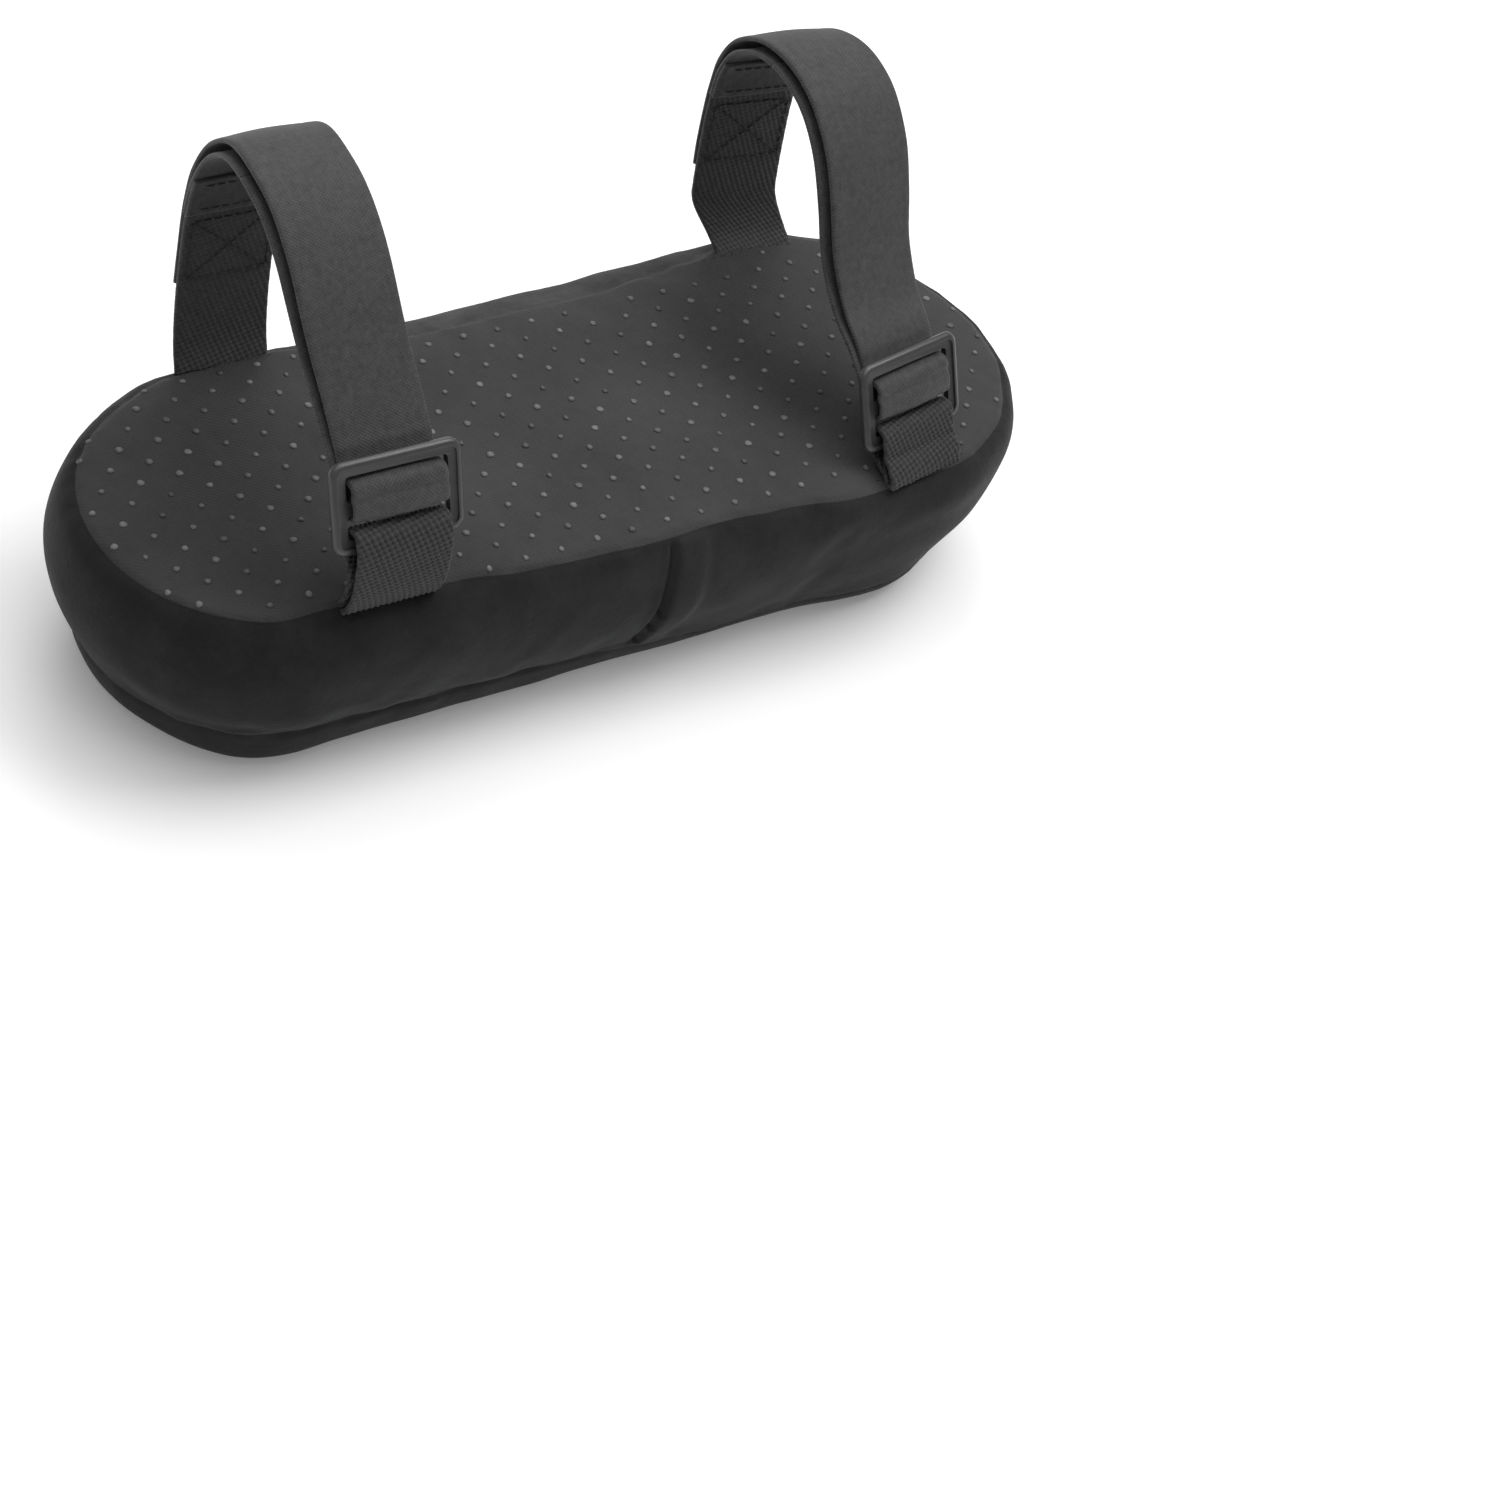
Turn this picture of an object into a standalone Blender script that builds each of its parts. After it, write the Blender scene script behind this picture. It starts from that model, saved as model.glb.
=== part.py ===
"""Armrest pad: a foam cushion in a sewn cover, with a grip base and two buckled straps.

The pad lies on its plush face. +X runs along its length, -Y is the side the buckles are on,
+Z points from the plush face to the grip base, and z = 0 is the plane of the plush face.
Sizes are in millimetres and are turned into metres when a mesh is made.
"""
import math

import bmesh
import bpy
import numpy as np

MM = 0.001
SHARP_ANGLE = 30.0
PART_NAME = "armrest_pad"

# Cushion: outline of the base seam, and how far the wall stands outside it at each height
HALF_LENGTH = 128.0
HALF_WIDTH = 44.0
HEIGHT = 50.0
END_SEGMENTS = 26
TOP_PANEL_PROFILE = [(0.0, -13.0), (0.5, -10.2), (1.8, -7.9), (4.0, -6.1), (7.0, -5.0), (10.6, -4.7)]
SIDE_BAND_PROFILE = [(10.9, -4.6), (13.5, -2.8), (17.0, -0.8), (21.5, 1.6), (27.0, 3.4), (32.0, 4.0),
                     (37.0, 4.2), (41.5, 3.9), (45.0, 3.1), (47.2, 1.9), (48.4, 0.5), (48.9, -0.4)]
BASE_EDGE_PROFILE = [(49.2, -0.6), (49.5, -1.8), (49.8, -3.2), (50.0, -5.0)]
COVER_THICKNESS = 1.5
FOAM_INSET = 2.2
SEAM_GAP = 0.3

# Zip along the far wall
ZIP_HEIGHT = 29.0
ZIP_SLOT_HALF_LENGTH = 74.0
ZIP_SLOT_HALF_HEIGHT = 4.6
ZIP_TAPE_FACE = 44.4
ZIP_TAPE_THICKNESS = 0.5
ZIP_TAPE_HALF_LENGTH = 76.0
ZIP_TAPE_REACH = 6.0
COIL_FACE = (44.7, 46.1)
COIL_HALF_LENGTH = 66.0
COIL_PITCH = 2.0
COIL_TOOTH_WIDTH = 0.8
COIL_TOOTH_TIP = 0.8
COIL_SPINE = (1.6, 3.2)
SLIDER_X = 61.0
SLIDER_LENGTH = 9.0
SLIDER_FACE = (46.4, 47.6)
PULL_AXIS_Y = 48.6
PULL_LENGTH = 17.0
PULL_THICKNESS = 1.0
STOP_X = 69.0

# Webbing and buckles
WEBBING_WIDTH = 25.0
STRAP_THICKNESS = 1.2
COARSE_THICKNESS = 1.5
TIP_THICKNESS = 2.2
BUCKLE_WIDTH = 34.0
BUCKLE_LENGTH = 22.0
BUCKLE_THICKNESS = 2.6
BUCKLE_CORNER = 3.0
BUCKLE_WINDOW_WIDTH = 26.4
BUCKLE_SLOTS = [(3.6, 9.2), (12.4, 18.4)]
BUCKLE_PIVOT = 1.8
TAB_WRAP_RADIUS = 2.35
TAIL_OFFSET_AT_BUCKLE = 1.75
TAIL_OFFSET = 3.3
TAIL_OFFSET_RUN = 18.0
TAIL_START = 1.4
TIP_EXTRA_OFFSET = 0.6
TIP_LENGTH = 13.0
CUT_GAP = 0.8
PATH_STEP = 1.6

# Paths are (y, height above the base face); each strap runs from the far seam over to its buckle
LOOPS = {
    "left": {
        "x": -71.0,
        "buckle_foot": (-38.9, 16.4),
        "buckle_lean": 24.8,
        "tab": [(-41.3, 0.5), (-41.3, 3.0), (-41.3, 6.5), (-41.0, 10.5)],
        "anchor": [(45.9, -1.4), (47.4, 6.0), (49.4, 16.0), (50.6, 27.0), (51.2, 36.0), (51.3, 43.0)],
        "strap": [(51.9, 22.0), (52.4, 29.0), (52.9, 37.0), (53.0, 46.0), (51.6, 56.0), (46.8, 66.5),
                  (38.0, 74.2), (27.0, 77.0), (15.5, 75.2), (5.0, 69.2), (-4.0, 60.8), (-12.0, 50.6),
                  (-19.0, 42.0)],
        "tip_bottom": 45.0,
    },
    "right": {
        "x": 80.0,
        "buckle_foot": (-36.6, 5.2),
        "buckle_lean": 31.2,
        "tab": [(-47.0, -0.9), (-46.1, 0.7), (-43.3, 1.9), (-39.8, 2.4)],
        "anchor": [(47.6, -1.2), (49.6, 6.5), (52.4, 17.0), (54.4, 27.0), (55.4, 36.0), (55.7, 43.0)],
        "strap": [(55.3, 22.0), (56.4, 29.0), (57.1, 37.0), (57.4, 45.5), (56.6, 54.5), (52.4, 63.0),
                  (43.5, 69.2), (33.0, 70.6), (21.5, 66.8), (11.8, 59.0), (3.8, 48.6), (-3.2, 37.6),
                  (-11.2, 29.0)],
        "tip_bottom": 45.0,
    },
}

MATERIALS = {
    "velour": ((0.035, 0.035, 0.038, 1.0), 0.95, 0.0),
    "grip_fabric": ((0.075, 0.075, 0.080, 1.0), 0.85, 0.0),
    "foam": ((0.75, 0.70, 0.52, 1.0), 0.90, 0.0),
    "strap_webbing": ((0.105, 0.105, 0.110, 1.0), 0.80, 0.0),
    "coarse_webbing": ((0.060, 0.060, 0.064, 1.0), 0.82, 0.0),
    "buckle_plastic": ((0.070, 0.070, 0.075, 1.0), 0.45, 0.0),
    "zip_tape": ((0.020, 0.020, 0.022, 1.0), 0.85, 0.0),
    "zip_coil": ((0.030, 0.030, 0.033, 1.0), 0.40, 0.0),
    "zip_metal": ((0.100, 0.100, 0.105, 1.0), 0.35, 0.9),
}


def clear_scene():
    """Remove every object that the scene starts with."""
    for item in list(bpy.data.objects):
        bpy.data.objects.remove(item, do_unlink=True)


def make_collection(name):
    """Make a collection under the scene."""
    group = bpy.data.collections.new(name)
    bpy.context.scene.collection.children.link(group)
    return group


def make_material(name):
    """Make the Principled material of one slot."""
    colour, roughness, metallic = MATERIALS[name]
    material = bpy.data.materials.new(name)
    material.use_nodes = True
    shader = material.node_tree.nodes["Principled BSDF"]
    shader.inputs["Base Color"].default_value = colour
    shader.inputs["Roughness"].default_value = roughness
    shader.inputs["Metallic"].default_value = metallic
    return material


def add_object(name, shape, material, origin=(0.0, 0.0, 0.0)):
    """Turn a bmesh in millimetres into a named object whose origin is at the given point."""
    bmesh.ops.recalc_face_normals(shape, faces=shape.faces)
    bmesh.ops.translate(shape, verts=shape.verts, vec=[-value for value in origin])
    bmesh.ops.scale(shape, verts=shape.verts, vec=(MM, MM, MM))
    mesh = bpy.data.meshes.new(name)
    shape.to_mesh(mesh)
    shape.free()
    mesh.shade_smooth()
    mesh.set_sharp_from_angle(angle=math.radians(SHARP_ANGLE))
    item = bpy.data.objects.new(name, mesh)
    item.location = [value * MM for value in origin]
    if material is not None:
        own = make_material(material)
        own.name = name + "_" + material
        mesh.materials.append(own)
        PART.objects.link(item)
    else:
        item.hide_render = True
        item.display_type = "WIRE"
        CUTTERS.objects.link(item)
    return item


def cut(item, cutter):
    """Take the cutter's volume out of an item."""
    modifier = item.modifiers.new("cut_" + cutter.name, "BOOLEAN")
    modifier.operation = "DIFFERENCE"
    modifier.solver = "EXACT"
    modifier.object = cutter


def thicken(item, thickness, offset):
    """Give an open surface its thickness: offset -1 grows it inwards and 0 both ways."""
    modifier = item.modifiers.new("thickness", "SOLIDIFY")
    modifier.thickness = thickness * MM
    modifier.offset = offset
    modifier.use_even_offset = True


def bevel(item, width, segments=2):
    """Round an item's sharp edges."""
    modifier = item.modifiers.new("edges", "BEVEL")
    modifier.width = width * MM
    modifier.segments = segments
    modifier.limit_method = "ANGLE"
    modifier.angle_limit = math.radians(40.0)


def box(name, low, high, material=None, origin=(0.0, 0.0, 0.0)):
    """Make a box between two corners."""
    shape = bmesh.new()
    bmesh.ops.create_cube(shape, size=1.0)
    size = [b - a for a, b in zip(low, high)]
    centre = [(a + b) / 2 for a, b in zip(low, high)]
    bmesh.ops.scale(shape, verts=shape.verts, vec=size)
    bmesh.ops.translate(shape, verts=shape.verts, vec=centre)
    return add_object(name, shape, material, origin)


def stadium(height, offset):
    """Points of the cushion's outline, moved outwards by the offset, at one height."""
    radius = HALF_WIDTH + offset
    straight = HALF_LENGTH - HALF_WIDTH
    points = []
    for side in (1, -1):
        for step in range(END_SEGMENTS + 1):
            angle = side * math.pi / 2 - side * math.pi * step / END_SEGMENTS
            x = side * (straight + radius * math.cos(angle))
            points.append((x, radius * math.sin(angle), height))
    return points


def loft(name, profile, material, caps=()):
    """Join a stack of outlines into one surface, with a flat cap on the levels that are named."""
    shape = bmesh.new()
    rings = [[shape.verts.new(point) for point in stadium(*level)] for level in profile]
    count = len(rings[0])
    for lower, upper in zip(rings[:-1], rings[1:]):
        for index in range(count):
            after = (index + 1) % count
            shape.faces.new((lower[index], upper[index], upper[after], lower[after]))
    for level in caps:
        shape.faces.new(rings[level])
    return add_object(name, shape, material)


def inner_profile(profile, thickness):
    """The profile moved inwards, square to itself, by the thickness."""
    points = np.array(profile)
    slope = np.gradient(points, axis=0)
    slope /= np.linalg.norm(slope, axis=1)[:, None]
    inward = np.stack([slope[:, 1], -slope[:, 0]], axis=1)
    return [tuple(point) for point in points + inward * thickness]


def make_foam():
    """The foam block, with a shallow relief behind the zip."""
    outer = TOP_PANEL_PROFILE + SIDE_BAND_PROFILE
    inset = inner_profile(outer, FOAM_INSET)
    bottom = FOAM_INSET
    top = HEIGHT - FOAM_INSET
    levels = [(bottom, inset[0][1])]
    levels += [level for level in inset if bottom + 0.2 < level[0] < top - 2.0]
    levels.append((top - 1.4, levels[-1][1] - 1.2))
    levels.append((top - 0.3, levels[-1][1] - 2.6))
    foam = loft("foam_core", levels, "foam", caps=(0, -1))
    depth = ZIP_TAPE_FACE - ZIP_TAPE_THICKNESS - SEAM_GAP
    relief = box("cutter_zip_relief", (-ZIP_TAPE_HALF_LENGTH - 2.0, depth, ZIP_HEIGHT - ZIP_TAPE_REACH - 2.0),
                 (ZIP_TAPE_HALF_LENGTH + 2.0, depth + 20.0, ZIP_HEIGHT + ZIP_TAPE_REACH + 2.0))
    cut(foam, relief)


def make_covers():
    """The plush top panel, the side band and the grip base panel."""
    panel = loft("cover_top_panel", TOP_PANEL_PROFILE, "velour", caps=(0,))
    thicken(panel, COVER_THICKNESS, -1.0)
    band = loft("cover_side_band", SIDE_BAND_PROFILE, "velour")
    thicken(band, COVER_THICKNESS, -1.0)
    slot = box("cutter_zip_slot", (-ZIP_SLOT_HALF_LENGTH, 20.0, ZIP_HEIGHT - ZIP_SLOT_HALF_HEIGHT),
               (ZIP_SLOT_HALF_LENGTH, 60.0, ZIP_HEIGHT + ZIP_SLOT_HALF_HEIGHT))
    cut(band, slot)
    under = [(HEIGHT - COVER_THICKNESS, BASE_EDGE_PROFILE[-1][1]), (HEIGHT - 1.7, -2.4)]
    loft("base_panel", under + BASE_EDGE_PROFILE, "grip_fabric", caps=(0, -1))


def extrude_outline(name, outline, plane, low, high, material, origin=(0.0, 0.0, 0.0)):
    """Fill a flat outline and extrude it across its plane, which is 'yz' along X or 'xz' along Y."""
    shape = bmesh.new()
    place = {"yz": lambda a, b: (low, a, b), "xz": lambda a, b: (a, low, b), "xy": lambda a, b: (a, b, low)}
    travel = {"yz": (high - low, 0, 0), "xz": (0, high - low, 0), "xy": (0, 0, high - low)}
    face = shape.faces.new([shape.verts.new(place[plane](a, b)) for a, b in outline])
    grown = bmesh.ops.extrude_face_region(shape, geom=[face])
    moved = [part for part in grown["geom"] if isinstance(part, bmesh.types.BMVert)]
    bmesh.ops.translate(shape, verts=moved, vec=travel[plane])
    bmesh.ops.recalc_face_normals(shape, faces=shape.faces)
    return add_object(name, shape, material, origin)


def coil_outline(side, shift):
    """Outline of one half of the zip's coil: a spine with a tooth at each pitch."""
    spine_in, spine_out = COIL_SPINE
    teeth = int(2 * COIL_HALF_LENGTH / COIL_PITCH)
    outline = [(-COIL_HALF_LENGTH, spine_out), (-COIL_HALF_LENGTH, spine_in)]
    for index in range(teeth):
        centre = -COIL_HALF_LENGTH + COIL_PITCH * (index + 0.25) + shift
        left, right = centre - COIL_TOOTH_WIDTH / 2, centre + COIL_TOOTH_WIDTH / 2
        outline += [(left, spine_in), (left, -COIL_TOOTH_TIP), (right, -COIL_TOOTH_TIP), (right, spine_in)]
    outline += [(COIL_HALF_LENGTH + 0.5, spine_in), (COIL_HALF_LENGTH + 0.5, spine_out)]
    return [(x, ZIP_HEIGHT + side * z) for x, z in outline]


def make_zip():
    """Tapes, coils, end stops, slider and pull of the zip."""
    tape_back = ZIP_TAPE_FACE - ZIP_TAPE_THICKNESS
    for word, side, shift in (("upper", 1, 0.0), ("lower", -1, COIL_PITCH / 2)):
        heights = sorted((ZIP_HEIGHT + side * 0.2, ZIP_HEIGHT + side * ZIP_TAPE_REACH))
        box("zipper_tape_" + word, (-ZIP_TAPE_HALF_LENGTH, tape_back, heights[0]),
            (ZIP_TAPE_HALF_LENGTH, ZIP_TAPE_FACE, heights[1]), "zip_tape")
        extrude_outline("zipper_coil_" + word, coil_outline(side, shift), "xz", *COIL_FACE, "zip_coil")
    for word, side in (("closed", 1), ("open", -1)):
        ends = sorted((side * (STOP_X - 1.2), side * (STOP_X + 1.2)))
        stop = box("zipper_stop_" + word, (ends[0], COIL_FACE[0], ZIP_HEIGHT - COIL_SPINE[1]),
                   (ends[1], COIL_FACE[1], ZIP_HEIGHT + COIL_SPINE[1]), "zip_metal")
        bevel(stop, 0.3)
    make_slider()
    make_pull()


def make_slider():
    """The slider: a channel that rides over both coils, with a bridge for the pull."""
    flange, edge = COIL_SPINE[1] + 0.3, COIL_SPINE[1] + 1.0
    back, inside, face = COIL_FACE[0], SLIDER_FACE[0], SLIDER_FACE[1]
    channel = [(back, -edge), (back, -flange), (inside, -flange), (inside, flange), (back, flange),
               (back, edge), (face, edge), (face, -edge)]
    outline = [(y, ZIP_HEIGHT + z) for y, z in channel]
    origin = (SLIDER_X, PULL_AXIS_Y, ZIP_HEIGHT)
    slider = extrude_outline("zipper_slider", outline, "yz", SLIDER_X - SLIDER_LENGTH / 2,
                             SLIDER_X + SLIDER_LENGTH / 2, "zip_metal", origin)
    post, span, roof = 3.1, 2.1, 2.0
    sunk = face - 0.4
    bridge = [(-post, sunk), (-post, face + roof + 0.8), (post, face + roof + 0.8), (post, sunk),
              (span, sunk), (span, face + roof), (-span, face + roof), (-span, sunk)]
    outline = [(SLIDER_X + x, y) for x, y in bridge]
    arch = extrude_outline("cutter_zip_bridge", outline, "xy", ZIP_HEIGHT - 0.8, ZIP_HEIGHT + 0.8, None, origin)
    modifier = slider.modifiers.new("bridge", "BOOLEAN")
    modifier.operation = "UNION"
    modifier.solver = "EXACT"
    modifier.object = arch


def make_pull():
    """The pull tab: a plate with a window that the slider's bridge passes through."""
    half = PULL_THICKNESS / 2
    origin = (SLIDER_X, PULL_AXIS_Y, ZIP_HEIGHT)
    pull = box("zipper_pull", (SLIDER_X - PULL_LENGTH, PULL_AXIS_Y - half, ZIP_HEIGHT - 2.8),
               (SLIDER_X + half, PULL_AXIS_Y + half, ZIP_HEIGHT + 2.8), "zip_metal", origin)
    window = box("cutter_pull_window", (SLIDER_X - 4.4, PULL_AXIS_Y - 3.0, ZIP_HEIGHT - 1.6),
                 (SLIDER_X - half, PULL_AXIS_Y + 3.0, ZIP_HEIGHT + 1.6))
    cut(pull, window)


def smooth_path(points, step=PATH_STEP):
    """A curve through the points, sampled at even steps."""
    points = np.array(points, float)
    ends = np.vstack([2 * points[0] - points[1], points, 2 * points[-1] - points[-2]])
    samples = []
    for before, start, end, after in zip(ends[:-3], ends[1:-2], ends[2:-1], ends[3:]):
        for t in np.linspace(0.0, 1.0, 12, endpoint=False):
            samples.append(0.5 * (2 * start + (end - before) * t
                                  + (2 * before - 5 * start + 4 * end - after) * t ** 2
                                  + (3 * start - before - 3 * end + after) * t ** 3))
    samples.append(points[-1])
    return resample(np.array(samples), step)


def path_lengths(path):
    """Distance along the path at each of its points."""
    return np.concatenate([[0.0], np.cumsum(np.linalg.norm(np.diff(path, axis=0), axis=1))])


def resample(path, step):
    """The same path with its points at even steps."""
    run = path_lengths(path)
    places = np.linspace(0.0, run[-1], max(2, int(round(run[-1] / step)) + 1))
    return np.stack([np.interp(places, run, path[:, axis]) for axis in (0, 1)], axis=1)


def trim(path, start, end, step=PATH_STEP):
    """The stretch of a path between two distances along it."""
    run = path_lengths(path)
    places = np.linspace(start, end, max(2, int(round((end - start) / step)) + 1))
    return np.stack([np.interp(places, run, path[:, axis]) for axis in (0, 1)], axis=1)


def path_normals(path):
    """Unit vectors square to the path, to its left."""
    tangent = np.gradient(path, axis=0)
    tangent /= np.linalg.norm(tangent, axis=1)[:, None]
    return np.stack([-tangent[:, 1], tangent[:, 0]], axis=1)


def offset_path(path, distance):
    """The path moved sideways, to its left, by one distance or by one for each point."""
    distance = np.broadcast_to(distance, len(path))
    return path + path_normals(path) * distance[:, None]


def ribbon(name, path, thickness, centre_x, material, origin):
    """A flat band of webbing that follows a path of (y, z) points."""
    shape = bmesh.new()
    low = centre_x - WEBBING_WIDTH / 2
    line = [shape.verts.new((low, y, z)) for y, z in path]
    edges = [shape.edges.new(pair) for pair in zip(line[:-1], line[1:])]
    grown = bmesh.ops.extrude_edge_only(shape, edges=edges)
    moved = [part for part in grown["geom"] if isinstance(part, bmesh.types.BMVert)]
    bmesh.ops.translate(shape, verts=moved, vec=(WEBBING_WIDTH, 0.0, 0.0))
    item = add_object(name, shape, material, origin)
    thicken(item, thickness, 0.0)
    return item


def arc(centre, radius, start, end, steps=7):
    """Points of a circular arc, with its angles in degrees."""
    angles = np.radians(np.linspace(start, end, steps))
    return [(centre[0] + radius * math.cos(a), centre[1] + radius * math.sin(a)) for a in angles]


def buckle_to_pad(loop, points):
    """Take (up the buckle, outwards from it) points to (y, z) of the pad."""
    lean = math.radians(loop["buckle_lean"])
    along = np.array([math.sin(lean), math.cos(lean)])
    outward = np.array([-math.cos(lean), math.sin(lean)])
    foot = np.array(loop["buckle_foot"]) + np.array([0.0, HEIGHT])
    return [tuple(foot + along * up + outward * out) for up, out in points]


def buckle_outline(window_low, window_high, half_width, corner):
    """A rounded rectangle in the buckle's plane, as (x, up the buckle) points."""
    points = []
    for centre_x, centre_up, start in ((half_width - corner, window_high - corner, 0),
                                       (corner - half_width, window_high - corner, 90),
                                       (corner - half_width, window_low + corner, 180),
                                       (half_width - corner, window_low + corner, 270)):
        points += arc((centre_x, centre_up), corner, start, start + 90, 5)
    return points


def flat_in_buckle(name, outline, loop, half_thickness, material, origin):
    """Extrude an (x, up) outline across the buckle's plane and stand it where the buckle is."""
    lean = math.radians(loop["buckle_lean"])
    along = (0.0, math.sin(lean), math.cos(lean))
    outward = (0.0, -math.cos(lean), math.sin(lean))
    foot = (loop["x"], loop["buckle_foot"][0], loop["buckle_foot"][1] + HEIGHT)
    shape = bmesh.new()
    corners = []
    for x, up in outline:
        place = [foot[k] + along[k] * up - outward[k] * half_thickness for k in range(3)]
        corners.append(shape.verts.new((place[0] + x, place[1], place[2])))
    face = shape.faces.new(corners)
    grown = bmesh.ops.extrude_face_region(shape, geom=[face])
    moved = [part for part in grown["geom"] if isinstance(part, bmesh.types.BMVert)]
    bmesh.ops.translate(shape, verts=moved, vec=[2 * half_thickness * value for value in outward])
    return add_object(name, shape, material, origin)


def make_buckle(side, loop):
    """The three-bar slide: a frame with two slots."""
    pivot = buckle_to_pad(loop, [(BUCKLE_PIVOT, 0.0)])[0]
    origin = (loop["x"], pivot[0], pivot[1])
    outline = buckle_outline(0.0, BUCKLE_LENGTH, BUCKLE_WIDTH / 2, BUCKLE_CORNER)
    buckle = flat_in_buckle(side + "_buckle", outline, loop, BUCKLE_THICKNESS / 2, "buckle_plastic", origin)
    for number, (low, high) in enumerate(BUCKLE_SLOTS):
        outline = buckle_outline(low, high, BUCKLE_WINDOW_WIDTH / 2, 0.6)
        name = "cutter_" + side + "_slot_" + str(number)
        cut(buckle, flat_in_buckle(name, outline, loop, BUCKLE_THICKNESS * 2, None, origin))
    bevel(buckle, 0.5)
    return origin


def make_tab(side, loop):
    """The coarse tab that is sewn into the near seam and wraps the buckle's lowest bar."""
    centre = np.array(loop["tab"]) + np.array([0.0, HEIGHT])
    spread = COARSE_THICKNESS / 2 + SEAM_GAP / 2
    wrap_up = BUCKLE_SLOTS[0][0] - 0.3
    wrap = [(0.8, TAB_WRAP_RADIUS)] + arc((wrap_up, 0.0), TAB_WRAP_RADIUS, 90, -90) + [(0.8, -TAB_WRAP_RADIUS)]
    outer = [tuple(point) for point in offset_path(centre, spread)]
    inner = [tuple(point) for point in offset_path(centre, -spread)[::-1]]
    path = smooth_path(outer + buckle_to_pad(loop, wrap) + inner, 1.0)
    ribbon(side + "_tab_webbing", path, COARSE_THICKNESS, loop["x"], "coarse_webbing", (loop["x"], 0.0, HEIGHT))


def fold_points():
    """Path of the strap through the buckle, from the loop, over the middle bar and back out."""
    slot_up = BUCKLE_SLOTS[0][1] - 1.5
    incoming = [(23.5, -4.5), (20.0, -3.0), (16.9, -1.9), (14.2, 1.0)]
    over = arc((12.1, 0.9), 1.5, 50, 95, 3) + arc((slot_up + 1.5, 0.9), 1.5, 100, 180, 4)
    under = arc((slot_up + 1.4, -2.5), 1.4, 180, 270, 5)
    outgoing = [(13.0, -3.9), (17.0, -4.2), (20.0, -5.0), (23.5, -6.4)]
    return incoming + over + under + outgoing


def make_strap(side, loop):
    """The main strap, its fold in the buckle, its tail inside the loop and the hemmed tip."""
    base = (loop["x"], 0.0, HEIGHT)
    fold = smooth_path(buckle_to_pad(loop, fold_points()), 0.8)
    pivot = buckle_to_pad(loop, [(BUCKLE_PIVOT, 0.0)])[0]
    ribbon(side + "_strap_fold", fold, STRAP_THICKNESS, loop["x"], "strap_webbing",
           (loop["x"], pivot[0], pivot[1]))

    exit_point = buckle_to_pad(loop, [(23.5, -4.5), (26.2, -5.7)])
    strap_points = [(y, z + HEIGHT) for y, z in loop["strap"]] + exit_point[::-1]
    strap = smooth_path(strap_points)
    length = path_lengths(strap)[-1]
    strap = trim(strap, 0.0, length - CUT_GAP)
    ribbon(side + "_strap", strap, STRAP_THICKNESS, loop["x"], "strap_webbing", base)

    from_buckle = path_lengths(strap)[-1] - path_lengths(strap)
    growth = np.clip(from_buckle / TAIL_OFFSET_RUN, 0.0, 1.0)
    offset = TAIL_OFFSET_AT_BUCKLE + (TAIL_OFFSET - TAIL_OFFSET_AT_BUCKLE) * growth
    tail = resample(offset_path(strap, offset * loop_inside(strap))[::-1], PATH_STEP)
    run = path_lengths(tail)
    past_top = np.argmax(tail[:, 1])
    low_enough = (np.arange(len(tail)) > past_top) & (tail[:, 1] < loop["tip_bottom"] + HEIGHT)
    tip_end = run[np.argmax(low_enough)]
    tail_path = trim(tail, TAIL_START, tip_end - TIP_LENGTH - CUT_GAP)
    ribbon(side + "_strap_tail", tail_path, STRAP_THICKNESS, loop["x"], "strap_webbing", base)
    tip = offset_path(trim(tail, tip_end - TIP_LENGTH, tip_end), TIP_EXTRA_OFFSET * loop_inside(tail))
    ribbon(side + "_strap_tip", tip, TIP_THICKNESS, loop["x"], "strap_webbing", base)

    anchor = smooth_path([(y, z + HEIGHT) for y, z in loop["anchor"]])
    ribbon(side + "_anchor_webbing", anchor, COARSE_THICKNESS, loop["x"], "coarse_webbing", base)


def loop_inside(path):
    """+1 when a path's left side is the inside of the loop, -1 when its right side is."""
    middle = np.array([0.0, HEIGHT + 30.0])
    towards = middle - path[len(path) // 2]
    return float(np.sign(path_normals(path)[len(path) // 2] @ towards))


clear_scene()
PART = make_collection(PART_NAME)
CUTTERS = make_collection("cutters")
make_foam()
make_covers()
make_zip()
for side_name, side_loop in LOOPS.items():
    make_buckle(side_name, side_loop)
    make_tab(side_name, side_loop)
    make_strap(side_name, side_loop)
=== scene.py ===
"""Looks of the armrest pad: a plush cushion with a dotted grip base, buckled straps and a zip.

Lengths are in millimetres until a mesh is made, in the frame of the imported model: the pad lies on
its plush face, +X runs along it, -Y is the side the buckles are on, and z = 0 is the plush plane.
"""

import math
import random

import bpy
import numpy as np
from mathutils import Matrix, Vector, noise
from mathutils.bvhtree import BVHTree


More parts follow.
